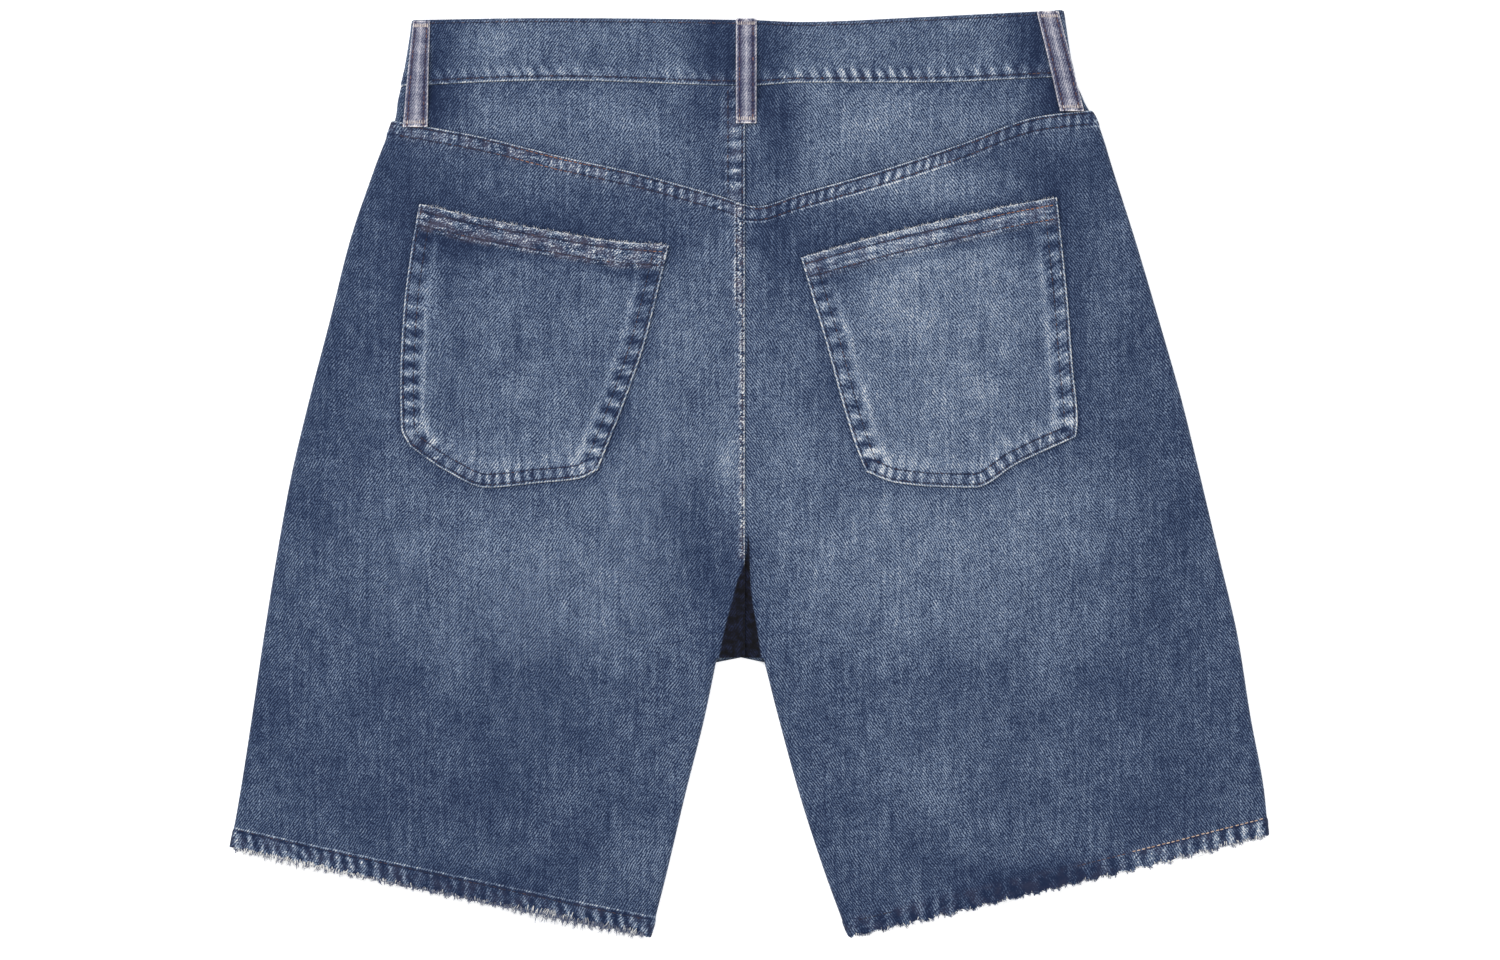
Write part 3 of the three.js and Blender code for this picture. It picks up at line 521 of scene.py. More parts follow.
# %% Node group: worn speckle
def build_speckle():
    tree, given, result = new_group(
        "Worn speckle", [("Cloth", "Vector", None), ("Worn", "Float", 0.0)], [("Tone", "Float", None)],
    )
    grains = noise(tree, stretch(tree, given["Cloth"], (1.7, 0.95, 1)), 1.0, 2.0, 0.7)
    blots = noise(tree, stretch(tree, given["Cloth"], (7.5, 2.6, 1)), 1.0, 2.0, 0.6)
    mixture = calc(tree, "ADD", rise(tree, grains, 0.36, 0.64, -0.5, 0.5), rise(tree, blots, 0.3, 0.7, -0.35, 0.35))
    tree.links.new(calc(tree, "MULTIPLY", mixture, given["Worn"]), result["Tone"])
    return tree


worn_speckle = build_speckle()
print("node group", worn_speckle.name)

# %% [markdown]
# ### The indigo wash
#
# Everything that lightens or darkens denim adds to one tone: the broad fade, clouds and slubs from
# the wash, ridges that were rubbed, troughs that were not, and the flecks of the weave. The tone then
# picks a colour between four: deep indigo, mid blue, pale and cotton white.

# %% Node group: indigo wash
def build_wash():
    tree, given, result = new_group(
        "Indigo wash",
        [("Cloth", "Vector", None), ("Tone", "Float", 0.5), ("Fleck", "Float", 0.5), ("Ridge", "Float", 0.0),
         ("Rubbed", "Float", 0.0), ("Groove", "Float", 0.0), ("Contrast", "Float", 0.45),
         ("Clouds", "Float", 0.3), ("Deep", "Color", None), ("Mid", "Color", None),
         ("Pale", "Color", None), ("Cotton", "Color", None)],
        [("Color", "Color", None), ("Tone", "Float", None)],
    )
    cloth = given["Cloth"]

    def about_zero(value, amount):
        return calc(tree, "MULTIPLY", calc(tree, "SUBTRACT", value, 0.5), amount)

    clouds = calc(tree, "ADD", noise(tree, cloth, 0.028, 4.0, 0.6), noise(tree, cloth, 0.16, 3.0, 0.6))
    slubs = calc(tree, "ADD", noise(tree, stretch(tree, cloth, (2.2, 34, 1)), 1.0, 2.0), clouds)
    wash = calc(tree, "MULTIPLY", about_zero(calc(tree, "DIVIDE", slubs, 3.0), 2.4), given["Clouds"])
    blotch = noise(tree, cloth, 0.42, 2.0)
    worn = calc(tree, "MULTIPLY", given["Ridge"], calc(tree, "ADD", 0.12, calc(tree, "MULTIPLY", blotch, 0.5)))
    tone = calc(tree, "ADD", given["Tone"], wash)
    tone = calc(tree, "ADD", tone, calc(tree, "MULTIPLY", about_zero(given["Fleck"], 1.0), given["Contrast"]))
    tone = calc(tree, "ADD", tone, worn)
    tone = calc(tree, "ADD", tone, calc(tree, "MULTIPLY", given["Rubbed"], 0.6))
    # Stitch grooves turn darker, partly indigo that rubbing spared and partly painted shade in the groove.
    tone = calc(tree, "SUBTRACT", tone, calc(tree, "MULTIPLY", given["Groove"], 0.4))
    colour = blend_colours(tree, rise(tree, tone, 0.0, 0.5), given["Deep"], given["Mid"])
    colour = blend_colours(tree, rise(tree, tone, 0.4, 0.9), colour, given["Pale"])
    colour = blend_colours(tree, rise(tree, tone, 0.8, 1.25), colour, given["Cotton"])
    tree.links.new(colour, result["Color"])
    tree.links.new(tone, result["Tone"])
    return tree


indigo_wash = build_wash()
print("node group", indigo_wash.name)

# %% [markdown]
# ## The finishes
#
# One function makes every denim, with the values that differ: how pale it is, how strong the weave
# shows and the four colours. The twill and the grooves also lift a Bump node, so that low light
# catches them. Cotton is matt, with a faint sheen from its fibres.

# %% Denim
INDIGO = {
    "Deep": srgb(16, 31, 60), "Mid": srgb(71, 88, 117), "Pale": srgb(140, 155, 175), "Cotton": srgb(220, 221, 220),
}
LOOP_GREY = {
    "Deep": srgb(44, 46, 76), "Mid": srgb(112, 116, 136), "Pale": srgb(176, 174, 184), "Cotton": srgb(232, 226, 226),
}


def read(tree, name, output="Fac"):
    """A number stored at the points of the mesh."""
    return add_node(tree, "ShaderNodeAttribute", {}, attribute_name=name).outputs[output]


def plain_material(name):
    material = bpy.data.materials.new(name)
    material.use_nodes = True
    tree = material.node_tree
    return material, tree, tree.nodes["Principled BSDF"]


def denim(name, colours, contrast=0.92, clouds=0.62, edge_width=1.2, pitch=1.45, tint=0.16):
    material, tree, surface = plain_material(name)
    cloth = read(tree, "cloth", "Vector")
    weave = place_group(tree, twill, {"Cloth": cloth, "Pitch": pitch, "Broken": 0.6})
    rubbed = place_group(tree, line_on_cloth, {
        "Cloth": cloth, "Distance": read(tree, "edge"), "Width": edge_width, "Broken": 0.32, "Patch": 9.0,
    })["Mask"]
    groove = place_group(tree, line_on_cloth, {
        "Cloth": cloth, "Distance": read(tree, "stitch"), "Width": 1.0, "Broken": 0.45, "Patch": 12.0,
    })["Mask"]
    worn = read(tree, "worn")
    speckle = place_group(tree, worn_speckle, {"Cloth": cloth, "Worn": worn})["Tone"]
    tone = calc(tree, "ADD", read(tree, "fade"), calc(tree, "MULTIPLY", read(tree, "reverse"), 0.22))
    inputs = {
        "Cloth": cloth, "Tone": calc(tree, "ADD", tone, speckle), "Fleck": weave["Fleck"],
        "Ridge": read(tree, "ridge"), "Rubbed": rubbed, "Groove": groove, "Contrast": contrast, "Clouds": clouds,
        **colours,
    }
    wash = place_group(tree, indigo_wash, inputs)
    stained = calc(tree, "MULTIPLY", rise(tree, noise(tree, cloth, 0.11, 3.0), 0.4, 0.62), worn)
    washed = blend_colours(tree, calc(tree, "MULTIPLY", stained, tint), wash["Color"], srgb(146, 130, 136))
    # Where 'dark' is high, in the crotch wedge, the colour turns to near-black navy with a faint weave: painted shade
    # between the legs.
    painted_crotch_shade = rise(tree, read(tree, "dark"), 0.35, 0.65)
    folds = calc(tree, "MULTIPLY", weave["Fleck"], rise(tree, noise(tree, cloth, 0.22, 2.0), 0.35, 0.7))
    deep = blend_colours(tree, folds, srgb(0, 0, 6), srgb(27, 34, 60))
    colour = blend_colours(tree, painted_crotch_shade, washed, deep)
    tree.links.new(colour, surface.inputs["Base Color"])
    tree.links.new(rise(tree, weave["Fleck"], 0.0, 1.0, 0.84, 0.94), surface.inputs["Roughness"])
    height = calc(tree, "SUBTRACT", weave["Height"], calc(tree, "MULTIPLY", groove, 2.4))
    height = calc(tree, "ADD", height, calc(tree, "MULTIPLY", speckle, 1.2))
    bump = add_node(tree, "ShaderNodeBump", {"Height": height, "Distance": 0.00012, "Strength": 0.55})
    tree.links.new(bump.outputs["Normal"], surface.inputs["Normal"])
    surface.inputs["Specular IOR Level"].default_value = 0.2
    surface.inputs["Sheen Weight"].default_value = 0.08
    surface.inputs["Sheen Roughness"].default_value = 0.5
    return material


back_denim = denim("washed denim", INDIGO)
front_denim = denim("front denim", INDIGO, contrast=0.8)
loop_denim = denim("loop denim", LOOP_GREY, contrast=0.55, clouds=0.3, edge_width=1.0, tint=0.3)
print("denims:", back_denim.name, front_denim.name, loop_denim.name)

# %% [markdown]
# ### Thread
#
# Sewing thread is three twisted plies, about half a millimetre thick. Here most of it is navy or
# brown and worn, with orange-brown where the yoke and a pocket corner keep the first colour, and
# pale at the bar tacks. Each stitch carries its own number, so no two have the same shade.

# %% Sewing thread and frayed yarn
def thread_material(name, first, second, roughness=0.75):
    """Thread between two colours by the number 'dye', with the twist of its plies as bump."""
    material, tree, surface = plain_material(name)
    place = add_node(tree, "ShaderNodeTexCoord").outputs["Object"]
    worn = noise(tree, place, 1400.0, 2.0)
    share = calc(tree, "ADD", read(tree, "dye"), calc(tree, "MULTIPLY", calc(tree, "SUBTRACT", worn, 0.5), 0.5))
    colour = blend_colours(tree, rise(tree, share, 0.0, 1.0), first, second)
    tree.links.new(colour, surface.inputs["Base Color"])
    tree.links.new(rise(tree, worn, 0.2, 0.8, roughness - 0.1, roughness + 0.1), surface.inputs["Roughness"])
    bump = add_node(tree, "ShaderNodeBump", {"Height": noise(tree, place, 2600.0), "Distance": 0.0001})
    tree.links.new(bump.outputs["Normal"], surface.inputs["Normal"])
    surface.inputs["Specular IOR Level"].default_value = 0.3
    surface.inputs["Sheen Weight"].default_value = 0.1
    return material


seam_thread = thread_material("seam thread", srgb(30, 35, 58), srgb(168, 120, 96))
tan_thread = thread_material("tan thread", srgb(140, 102, 82), srgb(226, 204, 186))
tack_thread = thread_material("bar tack thread", srgb(122, 112, 122), srgb(226, 214, 208))
frayed_yarn = thread_material("frayed yarn", srgb(38, 58, 100), srgb(254, 253, 250), 0.85)

# %% Metal of the waist button
def button_material():
    material, tree, surface = plain_material("aged brass")
    place = add_node(tree, "ShaderNodeTexCoord").outputs["Object"]
    tarnish = noise(tree, place, 420.0, 4.0, 0.6)
    colour = blend_colours(tree, rise(tree, tarnish, 0.35, 0.65), srgb(150, 132, 104), srgb(86, 74, 62))
    tree.links.new(colour, surface.inputs["Base Color"])
    tree.links.new(rise(tree, tarnish, 0.3, 0.7, 0.28, 0.55), surface.inputs["Roughness"])
    bump = add_node(tree, "ShaderNodeBump", {"Height": noise(tree, place, 1500.0, 3.0), "Distance": 0.00005})
    tree.links.new(bump.outputs["Normal"], surface.inputs["Normal"])
    surface.inputs["Metallic"].default_value = 1.0
    return material


brass = button_material()

# %% [markdown]
# ## Seams that pucker
#
# A lapped seam holds more cloth under its stitches than beside them. After washing it shrinks into
# small ropes: light on their crests, dark between. The wave below is uneven on purpose. It
# raises the outer face by a few tenths of a millimetre, and the same wave is stored as "ridge" for
# the wash, so the pale places lie on the crests that real rubbing would reach.

# %% Puckers and folded edges
def uneven_wave(along, pitch, seed):
    """A wave between -1 and 1 with crests of unequal width and height."""
    shift = 1.9 * np.sin(along / (2.3 * pitch) + seed) + 1.2 * np.sin(along / (5.1 * pitch) + 2.1 * seed)
    swell = 0.76 + 0.24 * np.sin(along / (1.7 * pitch) + 4.3 * seed)
    return np.sin(2 * math.pi * along / pitch + shift) * swell


def seam_band(distance, along, width, pitch=6.5, seed=1.0, slant=0.35, height=0.3, rise_by=0.45, wear=1.0):
    """Rise of the outer face and strength of the wear, in a band of that width beside an edge."""
    inside = 1 - smooth((distance - width + 0.6) / 1.2)
    roped = smooth(distance / (0.2 * width)) * (1 - smooth((distance - 0.75 * width) / (0.55 * width)))
    wave = uneven_wave(along + slant * distance, pitch, seed)
    wave = 0.7 * wave + 0.4 * uneven_wave(along - 0.6 * distance, 0.41 * pitch, seed + 5)
    wave = wave * (0.82 + 0.18 * np.sin(along / (4.4 * pitch) + 2.9 * seed))
    return rise_by * inside + height * (0.5 + 0.5 * wave) * roped, wear * wave * roped


def round_over(distance, radius=0.8):
    """How far the outer face drops beside a folded edge."""
    t = np.clip(1 - distance / radius, 0, 1)
    return radius * (1 - np.sqrt(1 - t * t))


def patches(rows, x, y):
    """Sum of soft patches of fade."""
    total = 0
    for i in range(len(rows["x"])):
        across = (x - rows["x"][i]) / rows["wide"][i]
        up = (y - rows["y"][i]) / rows["high"][i]
        total = total + rows["amount"][i] * np.exp(-across**2 - up**2)
    return total


def nearest(distances):
    """The smallest of several distances at each point."""
    return np.minimum.reduce(np.broadcast_arrays(*distances))


# %% [markdown]
# ## Rows across a panel
#
# A panel is drawn row by row from its outseam to its inner edge. Columns crowd together round the
# folds, where the cloth turns, and spread out on the flat. Below the crotch the rows slant as the
# hems do. Rows crowd near the top edge and the hem, so the rounded edge and the first puckers have
# points of their own.

# %% Columns and rows of a panel
FOLD_STEPS = FOLD_WIDTH * (1 - np.cos(np.radians(np.linspace(0, 90, 9))))
EDGE_STEPS = np.array([0, 0.2, 0.5, 1.0])
SEAT_EDGE = {"x": -3.3, "lap": 8.7}
LEG_SLANT = 58
LAP_RISE = 8
LAP_CLEAR = 0.8
PANEL_PITCH = 2.4


def panel_row(side, outer_y, inner_y, inner_steps, middle, inner_x=None, bow=None, cut_back=0.0):
    """x and y along one row, from the outseam to the inner edge."""
    way = INWARD[side]
    outer_x = outseam_x[side](outer_y)
    start_x = outer_x + way * cut_back
    end_x = inseam_x[side](inner_y) if inner_x is None else inner_x

    def y_at(x):
        s = (x - outer_x) / (end_x - outer_x)
        return lerp(outer_y, inner_y, s) + (bow(x, s) if bow else 0)

    fold_y = y_at(start_x + way * FOLD_STEPS)
    fold_x = outseam_x[side](fold_y) + way * (cut_back + FOLD_STEPS)
    flat_x = np.linspace(start_x + way * FOLD_WIDTH, end_x - way * inner_steps[-1], middle + 1)[1:-1]
    steps = inner_steps[::-1]
    last_y = y_at(end_x - way * steps)
    last_x = (inseam_x[side](last_y) if inner_x is None else end_x) - way * steps
    return np.concatenate([fold_x, flat_x, last_x]), np.concatenate([fold_y, y_at(flat_x), last_y])


def crowded(length, pitch, near_start=EDGE_STEPS, near_end=EDGE_STEPS):
    """Places from 0 to length, crowded at both ends and evenly spaced between."""
    start, end = near_start[-1], length - near_end[-1]
    even = np.linspace(start, end, max(2, math.ceil((end - start) / pitch)) + 1)
    return np.concatenate([near_start[:-1], even, length - near_end[:-1][::-1]])


def under_edge(x, edge_x):
    """How much deeper a piece lies at x, to pass under the edge of the piece that laps over it."""
    return LAYER * (1 - smooth((x - edge_x - LAP_CLEAR) / LAP_RISE))


def hem_distance(side, x, y):
    outer_x, outer_y, inner_x, inner_y = hem_line(side)
    slope = (inner_y - outer_y) / (inner_x - outer_x)
    return (y - outer_y - slope * (x - outer_x)) / math.hypot(1, slope)


# %% [markdown]
# ## The patch pockets' outlines
#
# The pockets are cut with slanting sides and a blunt point, and the weight of a hand has pulled them out of true, so
# each has its own four sides. A grid that fills four curved sides is a Coons patch: it blends the sides towards each
# other. The backs need these outlines too, because the denim round a pocket is darker: partly indigo that stayed dark
# and partly the pocket's shadow painted in.

# %% Pocket outlines
POCKET_SIDES = {
    "left": {
        "top": [(-208, 173), (-170, 164), (-120, 155), (-82, 149), (-51, 147)],
        "right": [(-51, 147), (-57, 122), (-66, 86), (-79, 48), (-88, 25), (-96, 5)],
        "bottom": [(-214, 20), (-192, 5), (-166, -6), (-132, -3), (-108, -0.5), (-96, 5)],
        "left": [(-208, 173), (-213, 145), (-218, 105), (-220, 62), (-219.5, 32), (-214, 20)],
    },
    "right": {
        "top": [(32, 139), (82, 153), (120, 162), (160, 171), (193, 177)],
        "right": [(193, 177), (196, 150), (200, 110), (203, 70), (206, 36), (205, 26)],
        "bottom": [(73, 4), (92, -3), (118, -5.5), (141, -6), (168, 9), (205, 26)],
        "left": [(32, 139), (39, 115), (48, 85), (58, 48), (66, 22), (73, 4)],
    },
}


def side_curve(points):
    """A curve along a pocket's side, from 0 to 1 of its length."""
    x, y = np.array(points, float).T
    lengths = np.concatenate([[0], np.cumsum(np.hypot(np.diff(x), np.diff(y)))])
    rows = {"t": lengths / lengths[-1], "x": x, "y": y}
    curve_x, curve_y = through(rows, "t", "x"), through(rows, "t", "y")
    return lambda t: np.stack([curve_x(t), curve_y(t)], -1)


POCKET_CURVES = {
    side: {name: side_curve(points) for name, points in sides.items()} for side, sides in POCKET_SIDES.items()
}


def fill_sides(curves, across, down):
    """Points inside four curved sides."""
    s, t = across[None, :, None], down[:, None, None]
    sideways = lerp(curves["left"](down)[:, None], curves["right"](down)[:, None], s)
    upright = lerp(curves["top"](across)[None], curves["bottom"](across)[None], t)
    top_corners = lerp(curves["top"](0.0), curves["top"](1.0), s)
    low_corners = lerp(curves["bottom"](0.0), curves["bottom"](1.0), s)
    return sideways + upright - lerp(top_corners, low_corners, t)


def near_line(line, x, y):
    """Distance of each point from a line of points, and how far along the line that is, in mm."""
    steps = np.hypot(*np.diff(line, axis=0).T)
    lengths = np.concatenate([[0], np.cumsum(steps)])
    flat = np.stack([np.ravel(x), np.ravel(y)], -1)
    distance, along = np.empty(len(flat)), np.empty(len(flat))
    for start in range(0, len(flat), 4000):
        part = flat[start:start + 4000]
        apart = np.hypot(part[:, None, 0] - line[None, :, 0], part[:, None, 1] - line[None, :, 1])
        closest = apart.argmin(1)
        distance[start:start + 4000] = apart[np.arange(len(part)), closest]
        along[start:start + 4000] = lengths[closest]
    return distance.reshape(np.shape(x)), along.reshape(np.shape(x))


def pocket_line(side, name, count=240):
    return POCKET_CURVES[side][name](np.linspace(0, 1, count))


# %% [markdown]
# ## The backs
#
# The two backs carry most of what the camera sees. Their top edge laps over the yokes, the left one laps over the
# right along the seat seam, and their hems are raw. The broad fade follows how the shorts were worn and washed: pale
# on the seat and the thighs, dark at the outer sides. Round the pockets and below their mouths the back is darker,
# partly indigo that stayed and partly the pockets' shadow painted in. Painted shade also darkens the back beside the
# crotch and in the trough below the yoke's centre, and turns the wedge at the crotch nearly black as the shade between
# the legs.

# %% Fade of the backs
BACK_TONE = 0.19
# Patches of fade from wear and washing, and painted shade: the dark patches near (-30, -52) and (24, -50) beside the
# crotch and at (15, 150) in the trough below the yoke.
BACK_FADE_AND_SHADE = table("x y wide high amount", [
    (-30, 90, 46, 95, 0.17), (70, 40, 90, 120, 0.09), (-115, -55, 104, 56, 0.19), (96, -50, 118, 60, 0.19),
    (-150, 185, 70, 16, 0.04), (-115, 194, 50, 12, 0.12), (110, 184, 60, 18, 0.33), (-40, -185, 40, 90, 0.08),
    (150, -190, 90, 70, 0.08), (224, 110, 14, 46, 0.08), (15, 150, 9, 34, -0.18), (-228, 160, 20, 40, -0.10),
    (-30, -52, 26, 44, -0.28), (24, -50, 20, 50, -0.08), (-180, -210, 70, 40, -0.04), (-218, 24, 24, 60, 0.11),
    (-180, -15, 40, 20, 0.07), (200, -14, 40, 30, 0.17), (180, -254, 60, 16, -0.20), (16, 188, 14, 22, -0.26),
    (-16, 194, 14, 18, -0.16), (184, 196, 18, 12, -0.10), (-62, 60, 16, 60, 0.11), (-84, -8, 40, 16, 0.09),
    (160, -12, 40, 16, 0.05), (262, -70, 18, 70, -0.07), (-70, -250, 30, 20, 0.12), (-185, -92, 20, 30, 0.06), (-14, 10, 7, 26, 0.24),
    (24, 20, 16, 110, 0.08), (100, -180, 38, 34, 0.07), (181, -90, 40, 30, 0.08), (-306, -150, 20, 30, -0.09),
    (-165, -256, 80, 15, -0.12), (178, -256, 34, 14, -0.12), (264, -216, 22, 20, -0.08), (-262, 70, 14, 34, -0.08),
    (-165, -11, 44, 16, 0.05), (-225, -51, 22, 24, 0.05), (220, 106, 12, 28, 0.05), (120, -20, 60, 18, 0.05),
])
YOKE_BAND = 10.0
SEAT_BAND = 6.2
HEM_BAND = 12.0
HEM_PUCKER = {"left": 7.8, "right": 9.5}
HEM_WEAR = {"left": 2.4, "right": 1.3, "outer_end": 1.5}
POCKET_SHADE_AND_INDIGO = {"reach": 5.0, "amount": 0.16, "above": 12.0}
# Outline of the wedge at the crotch, where the shade between the legs is painted nearly black.
WEDGE = table("y left right", [
    (-34, -1.6, -1.2), (-44, -2.2, -0.2), (-56, -4.2, 0.0), (-65, -8.0, 0.3), (-78, -11.4, 1.6), (-94, -15.8, 4.4),
    (-114, -19.8, 7.4), (-118, -20.6, 8.2),
])
wedge_left, wedge_right = through(WEDGE, "y", "left"), through(WEDGE, "y", "right")


def crotch_wedge(x, y):
    """How far a point lies inside the wedge at the crotch that is painted dark as shade, in mm."""
    inside = np.minimum(x - wedge_left(y), wedge_right(y) - x)
    return np.where((y > WEDGE["y"][0]) | (y < CROTCH_Y - 1.5), -9, inside)


def back_measures(side, x, y):
    """Distances on a back from its seams, in mm."""
    above = y > CROTCH_Y - 1
    seat = -INWARD[side] * (x - SEAT_EDGE["x"])
    return {
        "yoke": (yoke_seam_y(x) - y) * 0.965,
        "seat": np.where(above, seat, 99.0),
        "hem": hem_distance(side, x, y),
        "outseam": np.abs(x - outseam_x[side](y)),
    }


def back_relief(side, x, y):
    """Rise of a back's outer face over the plain cloth, and the wear on it."""
    far = back_measures(side, x, y)
    seed = 1.3 if side == "left" else 4.1
    hem_wear = HEM_WEAR[side] + HEM_WEAR["outer_end"] * smooth((x - 214) / 36)
    bands = [
        seam_band(far["yoke"], x, YOKE_BAND, 6.4, seed, 0.1, height=0.4, wear=1.5),
        seam_band(far["hem"] + 2.4, x, HEM_BAND + 2.4, HEM_PUCKER[side], seed + 2, 0.1, height=0.6, wear=hem_wear),
    ]
    if side == "left":
        bands.append(seam_band(far["seat"], y, SEAT_BAND, 4.6, 2.6, 0.4, height=0.3, wear=0.75))
    lift = np.maximum.reduce([band[0] for band in bands])
    ridge = sum(band[1] for band in bands)
    edge = far["yoke"] if side == "right" else nearest([far["yoke"], far["seat"]])
    lift = lift - round_over(nearest([edge, far["hem"]]))
    return lift, np.clip(ridge, -1.8, 1.8), far


def back_fields(side, x, y):
    lift, ridge, far = back_relief(side, x, y)
    seat, yoke, hem = far["seat"], far["yoke"], far["hem"]
    fade = BACK_TONE + patches(BACK_FADE_AND_SHADE, x, y)
    outline = [near_line(pocket_line(side, name), x, y)[0] for name in ("left", "right", "bottom")]
    mouth = near_line(pocket_line(side, "top"), x, y)[0]
    # Round the pockets and by their mouths the back darkens, partly indigo that stayed dark and partly the pockets'
    # shadow painted in.
    fade = fade - POCKET_SHADE_AND_INDIGO["amount"] * np.exp(-nearest(outline) / POCKET_SHADE_AND_INDIGO["reach"])
    fade = fade - POCKET_SHADE_AND_INDIGO["amount"] * np.exp(-mouth / POCKET_SHADE_AND_INDIGO["above"])
    fade = fade + 0.08 * np.exp(-((yoke - 5) / 5) ** 2)
    worn = (0.4 if side == "left" else 0.16) * np.exp(-((yoke - 5) / 4.5) ** 2)
    lines = [yoke - 1.7, yoke - 8.4]
    edges = [yoke, hem + 0.3, far["outseam"] + 0.7]
    if side == "left":
        upper = smooth((y - 96) / 20)
        from_line = (seat - lerp(1.6, 3.2, upper)) / lerp(1.9, 3.4, upper)
        rubbed = np.exp(-from_line**2) * (y > -50)
        fade = fade + (0.36 - 0.16 * upper) * rubbed
        worn = np.maximum(worn * (1 + 0.7 * np.exp(-((x + 150) / 60) ** 2)), 1.3 * rubbed)
        lines += [np.where(seat > 90, 99, seat - 1.5), np.where(seat > 90, 99, seat - 5.2 + 9 * (1 - upper))]
        lines.append(hem - HEM_BAND)
        edges += [seat + 0.2, np.abs(seat - 6.4) + 0.3 + 3 * (1 - upper), np.abs(hem - HEM_BAND - 1.6) + 0.35]
        fluff = np.exp(-((x + 300) / 70) ** 2)
        fade = fade - 0.05 * np.exp(-hem / 8) + 0.2 * fluff * (1 - smooth((hem - 3.5) / 3.5))
    else:
        edges.append(np.abs(yoke - 9.9) + 0.4)
        # Painted shade on the right back beside the edge of the left back that laps over it.
        fade = fade - 0.22 * np.exp(-np.abs(seat) / 2.5) * (seat < 0) * (seat > -30)
        outer_end = smooth((x - 214) / 36)
        lines.append(hem - HEM_BAND + 40 * (1 - outer_end))
        fade = fade + (0.12 * outer_end - 0.16 * (1 - outer_end)) * (1 - smooth((hem - 7) / 9))
    worn = np.maximum(worn, 0.24 * (1 - smooth((hem - HEM_BAND) / 3)))
    stitch = nearest([np.abs(line) for line in lines])
    wedge = crotch_wedge(x, y)
    # Round the wedge the fade darkens, and 'dark' makes the material paint the wedge nearly black: painted shade
    # between the legs.
    return lift, {
        "fade": fade - 0.14 * np.exp(-np.abs(wedge) / 6), "ridge": ridge, "edge": nearest(edges), "stitch": stitch,
        "worn": worn, "dark": 0.5 + np.clip(wedge, -40, 40) * 0.25,
    }


# %% Shape of the backs
SEAT_STEPS = {
    "left": np.array([0, 0.2, 0.5, 1.0, 2.0, 3.2, 4.6, 6.0, 7.4, 9.0, 11.0, 13.5]),
    "right": np.array([0, 0.3, 1.0, 2.5, 4.2, 6.0, 7.8, 9.2, 11.0, 13.0, 15.2, 17.5]),
}
INSEAM_STEPS = np.concatenate([FOLD_STEPS, [6.4, 9.0, 12.0]])
HEM_ROWS = np.array([0, 0.5, 1.1, 2.2, 3.8, 5.6, 7.4, 9.2, 10.8, 11.7, 12.4, 13.4, 15.2])
RAGGED = {
    "left": {"coarse": 8.0, "fine": 2.7, "depth": 1.7, "seed": 2.0},
    "right": {"coarse": 13.0, "fine": 4.1, "depth": 3.6, "seed": 5.0},
}
RAGGED_REACH = 7.4


def ragged(x, coarse, fine, depth, seed):
    """How far a raw or worn edge steps back, in mm."""
    notches = uneven_wave(x, coarse, seed) + 0.8 * uneven_wave(x, fine, seed + 1)
    return depth * np.maximum(0, 0.4 + 0.33 * notches)


def tear_hem(side, x, y):
    """The heights of a leg's points, with the last few rows drawn into a ragged edge."""
    near = np.clip(1 - hem_distance(side, x, y) / RAGGED_REACH, 0, 1) * (y < CROTCH_Y - 60)
    return y + ragged(x, **RAGGED[side]) * near


def leg_rows(side, first_outer, first_inner, pitch, near_hem=HEM_ROWS):
    """Outer and inner heights of the rows of a leg, down to the hem."""
    hem = HEM[side]
    length = first_inner - hem["inner"]
    share = crowded(length, pitch, np.array([0.0, 1.5]), near_hem) / length
    return lerp(first_outer, hem["outer"], share), lerp(first_inner, hem["inner"], share)


def back_grid(side):
    inner_x = SEAT_EDGE["x"] if side == "left" else SEAT_EDGE["x"] - SEAT_EDGE["lap"]
    outer_top = yoke_seam_y(outseam_x[side](226 if side == "left" else 232))
    inner_top = yoke_seam_y(inner_x)
    outer_low, inner_low = CROTCH_Y + LEG_SLANT, CROTCH_Y
    middle = round(262 / PANEL_PITCH)
    near_top = np.array([0, 0.2, 0.5, 1.0, 1.8, 3.2, 5.0, 6.8, 8.2, 9.4, 10.6, 12.0])
    length = inner_top - inner_low
    rows = []
    for share in crowded(length, PANEL_PITCH, near_top, np.array([0.0, 1.5])) / length:
        def bow(x, s, share=share):
            return (yoke_seam_y(x) - lerp(outer_top, inner_top, s)) * (1 - share) ** 2
        outer_y, inner_y = lerp(outer_top, outer_low, share), lerp(inner_top, inner_low, share)
        rows.append(panel_row(side, outer_y, inner_y, SEAT_STEPS[side], middle, inner_x, bow))
    for outer_y, inner_y in zip(*leg_rows(side, outer_low - 0.6, inner_low - 0.6, PANEL_PITCH)):
        rows.append(panel_row(side, outer_y, inner_y, INSEAM_STEPS, middle))
    return np.array([row[0] for row in rows]), np.array([row[1] for row in rows])


def sew_back(side):
    x, y = back_grid(side)
    lift, fields = back_fields(side, x, y)
    y = tear_hem(side, x, y)
    depth = under_edge(x, SEAT_EDGE["x"]) * (y > CROTCH_Y - 1) if side == "right" else 0 * x
    outer = back_point(side, x, y, depth - lift)
    inner = back_point(side, x, y, depth + CLOTH)
    cloth = np.stack([INWARD[side] * x, y, 0 * x], -1)
    piece = shell(f"back_panel_{side}", outer, inner, cloth, fields, back_denim)
    return dress(piece, "denim", f"back_{side}")


backs = {side: sew_back(side) for side in SIDES}

# %% [markdown]
# ## The yokes
#
# The yoke is the shaped piece over the hips. Its lower edge runs under the backs and rises out from
# under them, and at the centre the left yoke laps over the right one in a strip that has roped
# across. A crease or two fans out from the centre loop, where a belt has pulled.

